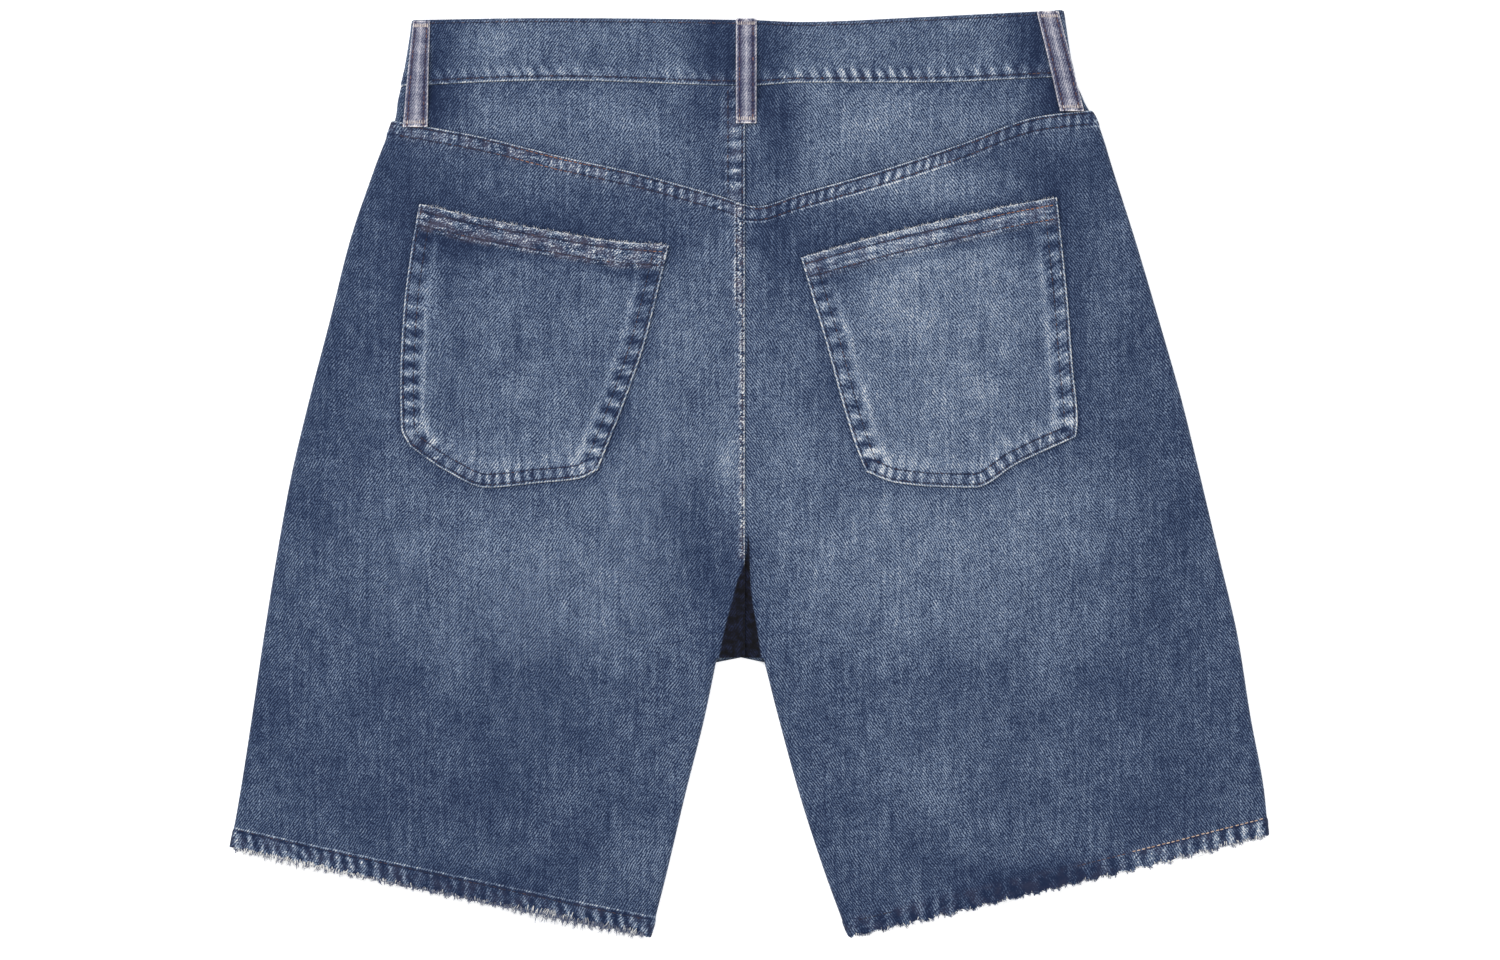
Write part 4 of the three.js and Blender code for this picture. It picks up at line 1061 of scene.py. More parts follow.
# %% Shape and wear of the yokes
YOKE_LAP = {"width": 12, "under_back": 8.3, "clear": 18, "rise": 14}
YOKE_TONE = {"left": 0.32, "right": 0.39}
# Patches of fade from wear, and painted shade: narrow dark strips beside the belt loops and darker patches round them.
YOKE_FADE_AND_SHADE = table("x y wide high amount", [
    (-30, 236, 14, 26, -0.16), (18, 222, 13, 34, -0.34), (190, 238, 22, 24, -0.34), (-196, 236, 20, 20, -0.30),
    (-110, 228, 60, 14, 0.05), (80, 226, 60, 20, 0.05), (-75, 240, 22, 10, -0.05), (110, 244, 50, 8, -0.06),
    (-146, 234, 24, 16, -0.06), (-12, 240, 4, 20, -0.26), (8, 240, 4, 20, -0.26), (-199, 236, 4, 20, -0.2),
    (191, 240, 4, 20, -0.2), (-18, 192, 20, 14, -0.12), (20, 190, 16, 12, -0.09), (-103, 192, 20, 10, 0.06),
    (146, 234, 22, 14, -0.09),
])


def yoke_relief(side, x, y):
    free = smooth((y - yoke_seam_y(x) - 2.5) / 5)
    strip = np.where(side == "left", SEAT_EDGE["x"] - x, 99.0)
    rise_here, ridge = seam_band(strip, y, YOKE_LAP["width"], 9.4, 3.3, 0.0, height=0.45, wear=1.3)
    waist, waist_ridge = seam_band(waist_seam_y(x) - y, x, 9.0, 11.0, 1.9, 0.8, height=0.15, rise_by=0.0)
    lift = (rise_here + waist) * free - round_over(strip)
    return lift, (ridge + 0.35 * waist_ridge) * free, strip


def yoke_depth(side, x, y):
    rise_up = YOKE_LAP["rise"]
    under_panel = LAYER * (1 - smooth((y - yoke_seam_y(x) - CLOTH) / (rise_up - CLOTH)))
    return under_panel + (under_edge(x, SEAT_EDGE["x"]) if side == "right" else 0)


def sew_yoke(side):
    way = INWARD[side]
    inner_x = SEAT_EDGE["x"] - (0 if side == "left" else YOKE_LAP["width"])
    if side == "left":
        inner_steps = np.array([0, 0.2, 0.5, 1.0, 2.0, 4.0, 6.0, 8.0, 10.0, 11.6, 12.6, 14.0])
    else:
        inner_steps = YOKE_LAP["width"] + np.array([-12, -11, -9, -6, -3, 0, 1.2, 3.0, 5.0, 7.0, 9.0, 11.0])

    def low(x):
        clear = smooth((np.abs(x - CENTRE_X) - YOKE_LAP["clear"]) / YOKE_LAP["rise"])
        return yoke_seam_y(x) + SEAM_GAP - YOKE_LAP["under_back"] * clear

    rows = []
    for share in crowded(60, 1.7, np.array([0.0, 1.0]), EDGE_STEPS) / 60:
        def y_at(x, share=share):
            return lerp(low(x), waist_seam_y(x) - SEAM_GAP, share)
        outer_x = float(outseam_x[side](y_at(outseam_x[side](235))))
        fold_y = y_at(outer_x + way * FOLD_STEPS)
        flat_x = np.linspace(outer_x + way * FOLD_WIDTH, inner_x - way * inner_steps[-1], 111)[1:-1]
        x = np.concatenate([outseam_x[side](fold_y) + way * FOLD_STEPS, flat_x, inner_x - way * inner_steps[::-1]])
        rows.append((x, np.concatenate([fold_y, y_at(x[len(FOLD_STEPS):])])))
    x, y = np.array([row[0] for row in rows]), np.array([row[1] for row in rows])
    lift, ridge, strip = yoke_relief(side, x, y)
    depth = yoke_depth(side, x, y)
    outseam = np.abs(x - outseam_x[side](y))
    seam = np.abs(SEAT_EDGE["x"] - x)
    fade = YOKE_TONE[side] + patches(YOKE_FADE_AND_SHADE, x, y) + 0.10 * (side == "left") * np.exp(-((seam - 6) / 6) ** 2)
    # Painted shadow on the yoke under the waistband's lower edge and beside the back's lapped edge.
    fade = fade - 0.12 * np.exp(-(waist_seam_y(x) - y) / 3) - 0.16 * np.exp(-np.abs(y - yoke_seam_y(x)) / 2.5)
    # Painted shade on the right yoke beside the left yoke's lapped strip.
    if side == "right":
        fade = fade - 0.2 * np.exp(-seam / 3)
    lines = [np.where(strip > 90, 99, strip - 1.6), np.where(strip > 90, 99, strip - 10.6)]
    fields = {
        "fade": fade, "ridge": ridge, "edge": nearest([strip, outseam + 0.7]),
        "stitch": nearest([np.abs(line) for line in lines]), "worn": 0.45 * np.exp(-((strip - 6) / 6) ** 2),
    }
    outer, inner = back_point(side, x, y, depth - lift), back_point(side, x, y, depth + CLOTH)
    cloth = np.stack([INWARD[side] * x, y + 400, 0 * x], -1)
    return dress(shell(f"yoke_panel_{side}", outer, inner, cloth, fields, back_denim), "denim", f"yoke_{side}")


yokes = {side: sew_yoke(side) for side in SIDES}

# %% [markdown]
# ## The waistband
#
# One long band goes all round: from its left end at the centre front, round the left side, across
# the back and round the right side to its end under the first. Its lower edge is a fold that is
# stitched down, so it shows a bright rubbed line with a dark stitch groove just above it.

# %% The waistband, station by station
BAND = {"left_end": 12, "right_end": -20, "low_line": 2.6, "top_line": 2.4, "low_band": 8.5}
BAND_TONE = 0.31
# Patches of fade from wear, and painted shade: narrow dark strips beside the belt loops and darker patches round them.
BAND_FADE_AND_SHADE = table("x y wide high amount", [
    (-22, 268, 13, 30, -0.42), (16, 268, 12, 30, -0.16), (-192, 268, 12, 30, -0.26), (176, 272, 14, 30, -0.34),
    (-120, 276, 50, 8, 0.06), (-60, 262, 30, 8, 0.02), (90, 264, 60, 9, 0.05), (120, 284, 50, 6, 0.04),
    (60, 276, 20, 10, -0.06), (-150, 262, 20, 6, -0.07), (-12, 268, 4, 40, -0.26), (8, 268, 4, 40, -0.26),
    (-198, 268, 4, 40, -0.24), (181, 272, 4, 40, -0.24), (-165, 273, 36, 12, 0.11), (57, 273, 20, 14, 0.12),
])


def band_height(x, share):
    return lerp(waist_seam_y(x), waist_top_y(x), share)


def band_relief(x, y, distance_along):
    low, top = y - waist_seam_y(x), waist_top_y(x) - y
    strength = 0.55 + 0.45 * smooth(x / 60)
    lift, ridge = seam_band(low, distance_along, BAND["low_band"], 9.0, 2.2, 0.3, 0.45, 0.25, 1.9)
    top_lift, top_ridge = seam_band(top, distance_along, 6.0, 12.0, 5.2, 0.2, height=0.15, rise_by=0.1)
    return (lift + top_lift) * 0.8, strength * ridge + 0.3 * top_ridge, low, top


def band_stations():
    """Face, side, and x or distance from the outseam of each column of the band, with its depth."""
    front_left = [("front", None, x, 0) for x in np.arange(BAND["left_end"], -202, -2.4)]
    front_left[0:1] = [("front", None, BAND["left_end"] - step, 0) for step in EDGE_STEPS]
    back = [("back", None, x, 0) for x in np.arange(-206, 192, 1.7)]
    overlap = BAND_CLOTH + SEAM_GAP
    front_right = []
    for x in np.arange(187, BAND["right_end"] - 0.1, -2.3):
        front_right.append(("front", None, x, overlap * smooth((40 - x) / 24)))
    turn = FOLD_STEPS[::-1]
    left_turn = [("front", "left", step, 0) for step in turn] + [("back", "left", s, 0) for s in FOLD_STEPS[1:]]
    right_turn = [("back", "right", step, 0) for step in turn] + [("front", "right", s, 0) for s in FOLD_STEPS[1:]]
    return front_left + left_turn + back + right_turn + front_right


def sew_waistband():
    stations = band_stations()
    shares = crowded(41, 1.6, np.array([0, 0.25, 0.6, 1.1, 2.0, 3.2]), np.array([0, 0.25, 0.6, 1.1])) / 41
    outer, inner, cloth, fields, run = [], [], [], [], 0.0
    for face, side, place, depth in stations:
        guess = place if side is None else float(outseam_x[side](270))
        y = band_height(guess, shares)
        x = np.full_like(y, place) if side is None else outseam_x[side](y) + INWARD[side] * place
        lies = side or ("left" if place < CENTRE_X else "right")
        lift, ridge, low, top = band_relief(x, y, x if face == "back" else x + 700)
        inset = round_over(np.minimum(low, top), 0.9)
        if face == "back":
            proud = BAND_PROUD * np.sin(fold_at(lies, x, y)[0])
            outer.append(back_point(lies, x, y, depth + inset - proud - lift, 0))
            inner.append(back_point(lies, x, y, depth + BAND_CLOTH - inset - proud, 0))
        else:
            groove = 0.25 * (1 - ridge) * smooth(low / 2) * (1 - smooth((low - 6) / 4))
            outer.append(front_point(lies, x, y, depth + inset + groove, 0))
            inner.append(front_point(lies, x, y, depth + BAND_CLOTH - inset, 0))
        if len(outer) > 1:
            run += np.linalg.norm(outer[-1][12] - outer[-2][12])
        cloth.append(np.stack([0 * y + run, y - waist_seam_y(guess), 0 * y], -1))
        fade = BAND_TONE + (patches(BAND_FADE_AND_SHADE, x, y) if face == "back" else 0 * x)
        fade = fade + 0.12 * np.exp(-((low - 5.5) / 3.5) ** 2) - 0.08 * np.exp(-np.abs(top) / 2)
        line = np.minimum(np.abs(low - BAND["low_line"]), np.abs(top - BAND["top_line"]) + 0.25)
        worn = 0.2 * np.exp(-((low - 3) / 3) ** 2) + 0.15 * np.exp(-top / 3)
        fields.append((fade, ridge, np.minimum(low, top + 0.55), line, worn))
    names = ("fade", "ridge", "edge", "stitch", "worn")
    fields = {name: np.array([column[i] for column in fields]) for i, name in enumerate(names)}
    print("band is", round(run), "mm long")
    piece = shell("waist_band", np.array(outer), np.array(inner), np.array(cloth), fields, back_denim)
    return dress(piece, "denim", "waistband")


waistband = sew_waistband()

# %% [markdown]
# ## The patch pockets
#
# A patch pocket is a flat piece with its edges turned under, sewn on along two lines. The turned
# edge is hidden, but it shows as a pale streak where its end rubs through, some 14 mm inside the
# sides. The top is a hem of three layers, so it stands higher, and it has worn grey and ragged.

# %% Shape and wear of the pockets
POCKET = {"hem": 16.0, "hem_cloth": 2.4, "turned": 13.5, "outer_line": 1.8, "inner_line": 8.4}
POCKET_HEM_LINES = (5.0, 13.6)
WORN_MOUTH = {"coarse": 8.0, "fine": 2.7, "depth": 1.6, "seed": 7.0}
POCKET_WORN = {"left": 0.85, "right": 0.45}
POCKET_TONE = {"left": 0.31, "right": 0.41}
POCKET_FADES = table("x y wide high amount", [
    (-188, 60, 14, 60, -0.06), (-110, 20, 40, 14, 0.08), (-165, 12, 24, 12, 0.06), (-190, 148, 24, 15, -0.36),
    (-150, 142, 40, 9, -0.10), (130, 110, 44, 40, 0.05), (118, 44, 40, 26, 0.02), (90, 10, 20, 14, 0.04),
    (178, 50, 16, 60, -0.08), (-70, 122, 14, 22, -0.10), (50, 122, 14, 14, -0.20), (182, 148, 18, 14, -0.28),
    (-120, 128, 50, 8, -0.04), (-80, 30, 14, 30, -0.05), (100, 150, 24, 18, 0.11), (102, 110, 24, 22, 0.07),
])


def pocket_relief(side, x, y):
    far = {name: near_line(pocket_line(side, name, 500), x, y) for name in ("top", "left", "right", "bottom")}
    seed = 2.0 if side == "left" else 6.0
    top = far["top"][0]
    below_hem = smooth((top - POCKET["hem"]) / 4)
    lift, ridge = np.zeros(x.shape), np.zeros(x.shape)
    for name, pitch, width in (("left", 11.5, 11.5), ("right", 12.5, 11.5), ("bottom", 7.4, 9.5)):
        band, wear = seam_band(far[name][0], far[name][1], width, pitch, seed, 0.0, 0.55, 0.35, 1.5)
        lift, ridge = np.maximum(lift, band * below_hem), ridge + wear * below_hem
    hem_wave = np.sin(2 * math.pi * top / 6.2 + 1.4 * np.sin(far["top"][1] / 19 + seed))
    hem_wave = 0.6 * hem_wave + 0.4 * uneven_wave(far["top"][1], 15, seed)
    in_hem = 1 - smooth((top - POCKET["hem"] + 1) / 1.5)
    lift = lift + 0.16 * hem_wave * in_hem
    ridge = ridge + 0.7 * hem_wave * in_hem
    border = nearest([far[name][0] for name in far])
    thickness = lerp(POCKET["hem_cloth"], CLOTH, smooth((top - POCKET["hem"] + 0.4) / 0.9))
    return thickness + lift - round_over(border, 0.9), np.clip(ridge, -1.5, 1.5), far


def sew_pocket(side):
    hem_steps = np.array([0, 0.25, 0.6, 1.1, 2.2, 3.8, 5.0, 6.4, 8.2, 10.4, 12.4, 13.6, 15.0, 15.9, 16.4, 17.2])
    across = crowded(157, 1.5) / 157
    down = crowded(165, 1.5, hem_steps, EDGE_STEPS) / 165
    places = fill_sides(POCKET_CURVES[side], across, down)
    x, y = places[..., 0], places[..., 1]
    thickness, ridge, far = pocket_relief(side, x, y)
    top, sides = far["top"][0], np.minimum(far["left"][0], far["right"][0])
    bottom = far["bottom"][0]
    below = smooth((top - POCKET["hem"]) / 6)
    fade = POCKET_TONE[side] + patches(POCKET_FADES, x, y)
    patchy = 0.75 + 0.25 * uneven_wave(y, 38, 1.0 if side == "left" else 3.0)
    fade = fade + 0.30 * patchy * np.exp(-((sides - 14.5) / 2.2) ** 2) * below
    ticks = 0.55 + 0.45 * uneven_wave(far["bottom"][1], 8.6, 3.0)
    fade = fade + 0.22 * ticks * np.exp(-((bottom - 13.0) / 5.5) ** 2)
    fade = fade - 0.07 * np.exp(-((sides - 9) / 3.5) ** 2) * below
    fade = fade + 0.02 * (1 - smooth((top - POCKET["hem"]) / 2)) - 0.12 * np.exp(-((top - 19) / 3) ** 2)
    for line in POCKET_HEM_LINES:
        fade = fade - 0.14 * np.exp(-((top - line) / 1.1) ** 2)
    lines = [np.abs(sides - POCKET["outer_line"]), np.abs(bottom - POCKET["outer_line"])]
    lines += [np.abs(far["bottom"][0] - POCKET["inner_line"]), np.abs(sides - POCKET["inner_line"]) + 0.35]
    lines += [np.abs(top - line) for line in POCKET_HEM_LINES]
    fields = {
        "fade": fade, "ridge": ridge, "edge": nearest([top, sides, bottom]), "stitch": nearest(lines),
        "worn": np.maximum(POCKET_WORN[side] * (1.0 - smooth((top - POCKET["hem"] + 1) / 3)), 0.2 * np.exp(-((bottom - 5) / 5) ** 2)),
    }
    y = y.copy()
    y[0] -= ragged(x[0], **WORN_MOUTH)
    y[1] -= 0.7 * ragged(x[1], **WORN_MOUTH)
    outer = back_point(side, x, y, -SEAM_GAP - thickness)
    inner = back_point(side, x, y, -SEAM_GAP)
    cloth = np.stack([INWARD[side] * x + 1000, y, 0 * x], -1)
    piece = shell(f"patch_pocket_{side}", outer, inner, cloth, fields, back_denim)
    return dress(piece, "denim", f"pocket_{side}")


pockets = {side: sew_pocket(side) for side in SIDES}

# %% [markdown]
# ## The belt loops
#
# A belt loop is a strip folded in three and stitched near both edges, so it has two thin borders and
# a thicker middle. It stands off the waistband, because a belt has to pass, and lies flat only
# at its two bar tacks. Loops catch every rub and fade to grey before the rest does.

# %% Belt loops
BACK_LOOPS = {
    "left": {"low": (-218.6, -203.0, 221.0), "top": (-212.0, -201.4, 287.6)},
    "centre": {"low": (-8.8, 4.0, 223.0), "top": (-8.8, 4.2, 288.6)},
    "right": {"low": (195.2, 210.4, 231.0), "top": (180.4, 194.2, 293.6)},
}
LOOP_STANDOFF = table("along clear", [
    (0, 0.3), (0.12, 0.3), (0.36, 2.7), (0.62, 2.8), (0.88, 1.3), (1, 1.3),
])
LOOP = {"edge": 1.3, "middle": 2.1, "line": 0.17}
FRONT_LOOP = {"offset": 92, "width": 12.5, "thickness": 2.3, "low": 224, "top": 287}
loop_standoff = through(LOOP_STANDOFF, "along", "clear")
LOOP_ACROSS = np.array([0, 0.015, 0.04, 0.09, 0.14, 0.17, 0.21, 0.3, 0.4, 0.5])
LOOP_ACROSS = np.concatenate([LOOP_ACROSS, 1 - LOOP_ACROSS[-2::-1]])


def loop_thickness(s, t, seed):
    """Thickness across a loop: thin borders, grooves at the stitch lines and a full middle."""
    from_edge = np.minimum(s, 1 - s)
    body = lerp(LOOP["edge"], LOOP["middle"], smooth(from_edge / 0.24))
    groove = 0.28 * np.exp(-((from_edge - LOOP["line"]) / 0.035) ** 2)
    wave = 0.12 * uneven_wave(t * 65, 7.5, seed) * smooth(from_edge / 0.1)
    return body - groove + wave - round_over(from_edge * 13, 0.6)


def loop_fields(s, t, length, width):
    from_edge = np.minimum(s, 1 - s) * width
    from_end = np.minimum(t, 1 - t) * length
    # A pale line down the middle, partly a rubbed crest and partly a painted highlight, and dark bands at the stitch
    # lines, painted shade in their grooves.
    middle = 0.5 * np.exp(-((s - 0.5) / 0.2) ** 2) + np.exp(-((s - 0.5) / 0.06) ** 2)
    fade = 0.28 + 0.26 * middle - 0.34 * np.exp(-((from_edge - 2.6) / 0.9) ** 2) + 0.12 * np.exp(-from_end / 3)
    return {
        "fade": fade, "ridge": 0.2 * uneven_wave(t * length, 13, 3 + width), "edge": np.minimum(from_edge, from_end),
        "stitch": np.abs(from_edge - LOOP["line"] * width) + 0.2, "worn": 0.16 + 0.3 * np.exp(-from_end / 5),
    }


def loop_place(loop, s, t):
    x = lerp(lerp(loop["low"][0], loop["low"][1], s), lerp(loop["top"][0], loop["top"][1], s), t)
    return x, lerp(loop["low"][2], loop["top"][2], t) + 0 * x


def loop_face(place, s, t, thick=True):
    """Points on a back loop's outer face, or on its inner face."""
    x, y = loop_place(BACK_LOOPS[place], s, t)
    side = place if place != "centre" else "left"
    if place == "centre":
        height = np.where(x < CENTRE_X, back_point("left", x, y)[..., 2], back_point("right", x, y)[..., 2])
    else:
        height = back_point(side, x, y)[..., 2]
    height = height + loop_standoff(t)
    if thick:
        height = height + loop_thickness(s, t, x.mean())
    return np.stack([x, y, height], -1)


def sew_back_loop(place):
    rows = crowded(65, 1.1, np.array([0, 0.3, 0.8])) / 65
    s, t = np.meshgrid(LOOP_ACROSS, rows)
    loop = BACK_LOOPS[place]
    width, length = loop["low"][1] - loop["low"][0], loop["top"][2] - loop["low"][2]
    fields = loop_fields(s, t, length, width)
    cloth = np.stack([s * width + 300, t * length, 0 * s], -1)
    outer, inner = loop_face(place, s, t), loop_face(place, s, t, thick=False)
    piece = shell(f"loop_{place}", outer, inner, cloth, fields, loop_denim)
    return dress(piece, "loop_denim", f"belt_loop_{place}")


def front_loop_face(side, s, t, outer=True):
    x = CENTRE_X - INWARD[side] * FRONT_LOOP["offset"] + (s - 0.5) * FRONT_LOOP["width"]
    y = lerp(FRONT_LOOP["low"], FRONT_LOOP["top"], t) + 0 * x
    hollow = LOOP["middle"] - loop_thickness(s, t, FRONT_LOOP["offset"])
    height = np.maximum(0.02, 0.35 * hollow) if outer else FRONT_LOOP["thickness"] - 0.35 * hollow
    return np.stack([x, y, height + 0 * x], -1)


def sew_front_loop(side):
    s, t = np.meshgrid(LOOP_ACROSS, crowded(63, 1.4, np.array([0, 0.3, 0.8])) / 63)
    fields = loop_fields(s, t, 63, FRONT_LOOP["width"])
    cloth = np.stack([s * FRONT_LOOP["width"] + 500, t * 63, 0 * s], -1)
    outer, inner = front_loop_face(side, s, t), front_loop_face(side, s, t, outer=False)
    piece = shell(f"loop_front_{side}", outer, inner, cloth, fields, loop_denim)
    return dress(piece, "loop_denim", f"belt_loop_front_{side}")


back_loops = {place: sew_back_loop(place) for place in BACK_LOOPS}
front_loops = {side: sew_front_loop(side) for side in SIDES}

# %% [markdown]
# ## The fronts
#
# None of the front can be seen from above, so it is made as such shorts have it: a lapped fly, two scooped hip pockets
# with a facing behind them, and creases that fan out from the fly where the hip bends, where the denim is darker. It
# rests on the table, so its outer face stays flat, and its relief goes inwards.

# %% Outlines of the fronts
SCOOP = {"top": 247, "depth": 82, "width": 92}
FLY = {"x": -3.3, "width": 21, "bottom": 60, "low_width": 8.7, "trim": 4.5, "rise": 30}
FLY_STITCH = {"out": 36, "low": 74, "curve": 26}
FRONT_SLANT_LENGTH = 190
FRONT_PITCH = 3.4
FRONT_TONE = 0.28
FRONT_FADES = table("x y wide high amount", [
    (-130, -20, 80, 120, 0.16), (126, -20, 80, 120, 0.16), (-150, -180, 80, 60, 0.04), (150, -180, 80, 60, 0.04),
    (-265, -40, 26, 160, -0.12), (262, -40, 26, 160, -0.12), (-8, -60, 22, 50, -0.10),
])


def scoop_width(y):
    down = np.clip((SCOOP["top"] - y) / SCOOP["depth"], 0, 1)
    return SCOOP["width"] * np.sqrt(1 - down * down)


def scoop_line(side, count=160):
    y = SCOOP["top"] - SCOOP["depth"] * np.sin(np.linspace(0, math.pi / 2, count))
    return np.stack([outseam_x[side](y) + INWARD[side] * scoop_width(y), y], -1)


def fly_line(offset=0.0, count=120):
    """The curved double stitching of the fly, on the left front."""
    out, low, curve = FLY_STITCH["out"] - offset, FLY_STITCH["low"] + offset, FLY_STITCH["curve"]
    straight = np.linspace(244, low + curve, count)
    turn = np.linspace(0, math.pi / 2, count // 2)[1:]
    x = np.concatenate([0 * straight - out, -out + (out - 2) * (1 - np.cos(turn))])
    y = np.concatenate([straight, low + curve - curve * np.sin(turn)])
    return np.stack([FLY["x"] + x, y], -1)


def front_grid(side):
    top_y = float(waist_seam_y(outseam_x[side](SCOOP["top"]))) - SEAM_GAP
    inner_top = float(waist_seam_y(CENTRE_X)) - SEAM_GAP
    scoop = SCOOP["top"] - SCOOP["depth"] * np.sin(np.radians(np.linspace(5, 90, 28)))
    below = np.linspace(scoop[-1], CROTCH_Y + LEG_SLANT, 66)[1:]
    middle = round(262 / FRONT_PITCH)
    rows = []
    for outer_y in np.concatenate([[top_y], scoop, below]):
        slant = LEG_SLANT * smooth((SCOOP["top"] - outer_y) / FRONT_SLANT_LENGTH)
        first = outer_y == top_y
        inner_y = inner_top if first else outer_y - slant
        fading = np.clip((outer_y - 232) / (top_y - 232), 0, 1)
        lap = lerp(FLY["low_width"], FLY["width"], smooth((inner_y - FLY["bottom"]) / FLY["rise"]))
        lap = lap - FLY["trim"] * smooth((-98 - inner_y) / 15)
        if side == "left":
            inner_x, steps = FLY["x"], np.array([0, 0.2, 0.5, 1.0, 2.0, 3.5, 5.0, 7.0, 9.0, 12.0, 16.0, 20.0])
        else:
            inner_x = FLY["x"] - lap
            steps = np.concatenate([lap * np.array([0, 0.04, 0.15, 0.35, 0.6, 0.8, 1]), lap + np.arange(1.5, 10, 2)])

        def bow(x, s, fading=fading):
            return fading * (waist_seam_y(x) - SEAM_GAP - lerp(top_y, inner_top, s))
        rows.append(panel_row(side, outer_y, inner_y, steps, middle, inner_x, bow, float(scoop_width(outer_y))))
    low = CROTCH_Y - 3.5
    for outer_y, inner_y in zip(*leg_rows(side, low + LEG_SLANT, low, FRONT_PITCH)):
        rows.append(panel_row(side, outer_y, inner_y, INSEAM_STEPS, middle))
    return np.array([row[0] for row in rows]), np.array([row[1] for row in rows])


def sew_front(side):
    x, y = front_grid(side)
    above = y > CROTCH_Y - 1
    hem, scoop = hem_distance(side, x, y), near_line(scoop_line(side), x, y)
    fly = np.where(above & (side == "left"), FLY["x"] - x, 99.0)
    fly_stitch = near_line(fly_line(), x, y)[0] if side == "left" else np.full(x.shape, 99.0)
    second = near_line(fly_line(6), x, y)[0] if side == "left" else np.full(x.shape, 99.0)
    outseam = np.abs(x - outseam_x[side](y))
    inseam = np.where(above, 99.0, np.abs(inseam_x[side](y) - x))
    bands = [
        seam_band(scoop[0], scoop[1], 9.0, 7.5, 1.1), seam_band(hem, x, HEM_BAND, 7.2, 3.1, 0.6),
        seam_band(fly, y, 8.0, 8.2, 4.4), seam_band(inseam, y, 9.0, 11.0, 2.4, height=0.2),
        seam_band(np.minimum(fly_stitch, second) + 2, y, 7.0, 9.0, 5.4),
    ]
    ridge = np.clip(sum(band[1] for band in bands), -1, 1)
    groove = 0.22 * (0.5 - 0.5 * ridge) * (np.abs(ridge) > 0.02) * smooth(outseam / 8)
    # The front is darker along its creases.
    front_crease_rise = creases(FRONT_CREASES, x, y)
    fade = FRONT_TONE + patches(FRONT_FADES, x, y) - 0.30 * front_crease_rise + 0.14 * np.exp(-hem / 12)
    lines = [scoop[0] - 1.8, scoop[0] - 8.0, hem - HEM_BAND, fly_stitch, second, inseam - 4.6]
    edges = [scoop[0], fly, hem + 0.3, outseam + 0.7]
    fields = {
        "fade": fade, "ridge": ridge, "edge": nearest(edges), "stitch": nearest([np.abs(line) for line in lines]),
    }
    depth = under_edge(x, FLY["x"]) * above if side == "right" else 0 * x
    inset = round_over(nearest([scoop[0], fly, np.abs(hem)]), 0.7) * smooth(outseam / 6)
    y = tear_hem(side, x, y)
    outer, inner = front_point(side, x, y, depth + groove + inset), front_point(side, x, y, depth + CLOTH)
    cloth = np.stack([INWARD[side] * x, y - 900, 0 * x], -1)
    piece = shell(f"front_panel_{side}", outer, inner, cloth, fields, front_denim)
    return dress(piece, "denim_front", f"front_{side}")


fronts = {side: sew_front(side) for side in SIDES}

# %% Facings of the hip pockets
FACING = {"hidden": 12, "depth": 97, "lowest": 0.9, "clear": 27, "rise": 18.4}


def sew_facing(side):
    edge_x = float(outseam_x[side](SCOOP["top"]))
    way = INWARD[side]
    rows = []
    for share in np.linspace(0, 1, 34):
        width = FACING["hidden"] + SCOOP["width"] * math.sqrt(1 - FACING["lowest"] * share**2)
        distance = np.concatenate([FOLD_STEPS, np.linspace(FOLD_WIDTH, width, 34)[1:]])
        top_y = waist_seam_y(edge_x + way * distance) - 2 * SEAM_GAP
        low_y = SCOOP["top"] - FACING["depth"] + FACING["rise"] * (1 - smooth((distance - FACING["clear"]) / 12))
        y = lerp(top_y, low_y, share)
        rows.append((outseam_x[side](y) + way * distance, y))
    x, y = np.array([row[0] for row in rows]), np.array([row[1] for row in rows])
    outer, inner = front_point(side, x, y, LAYER), front_point(side, x, y, LAYER + CLOTH)
    cloth = np.stack([INWARD[side] * x, y + 1400, 0 * x], -1)
    fields = {"fade": 0.22 + 0 * x, "edge": np.abs(x - outseam_x[side](y)) + 0.8}
    piece = shell(f"hip_pocket_facing_{side}", outer, inner, cloth, fields, front_denim)
    return dress(piece, "denim_front", f"hip_facing_{side}")


facings = {side: sew_facing(side) for side in SIDES}

# %% [markdown]
# ## The waist button
#
# The button is pressed from brass: a rolled rim, a dished face with fine rings, and a plain dome in
# the middle. A profile turned round its axis gives all of it. It faces down, like the rest of the
# front.

# %% Waist button
BUTTON = {"x": -2.0, "y": 268.0, "turns": 72}
BUTTON_PROFILE = table("radius height", [
    (0.0, 0.25), (1.2, 0.28), (2.0, 0.42), (2.4, 0.62), (3.1, 0.62), (3.3, 0.52), (3.7, 0.52), (3.9, 0.62),
    (4.6, 0.62), (4.8, 0.52), (5.2, 0.52), (5.4, 0.62), (6.0, 0.60), (6.6, 0.34), (7.2, 0.08), (7.8, 0.06),
    (8.3, 0.35), (8.5, 0.8), (8.4, 1.5), (8.0, 2.0), (7.2, 2.26), (5.0, 2.3), (0.0, 2.3),
])


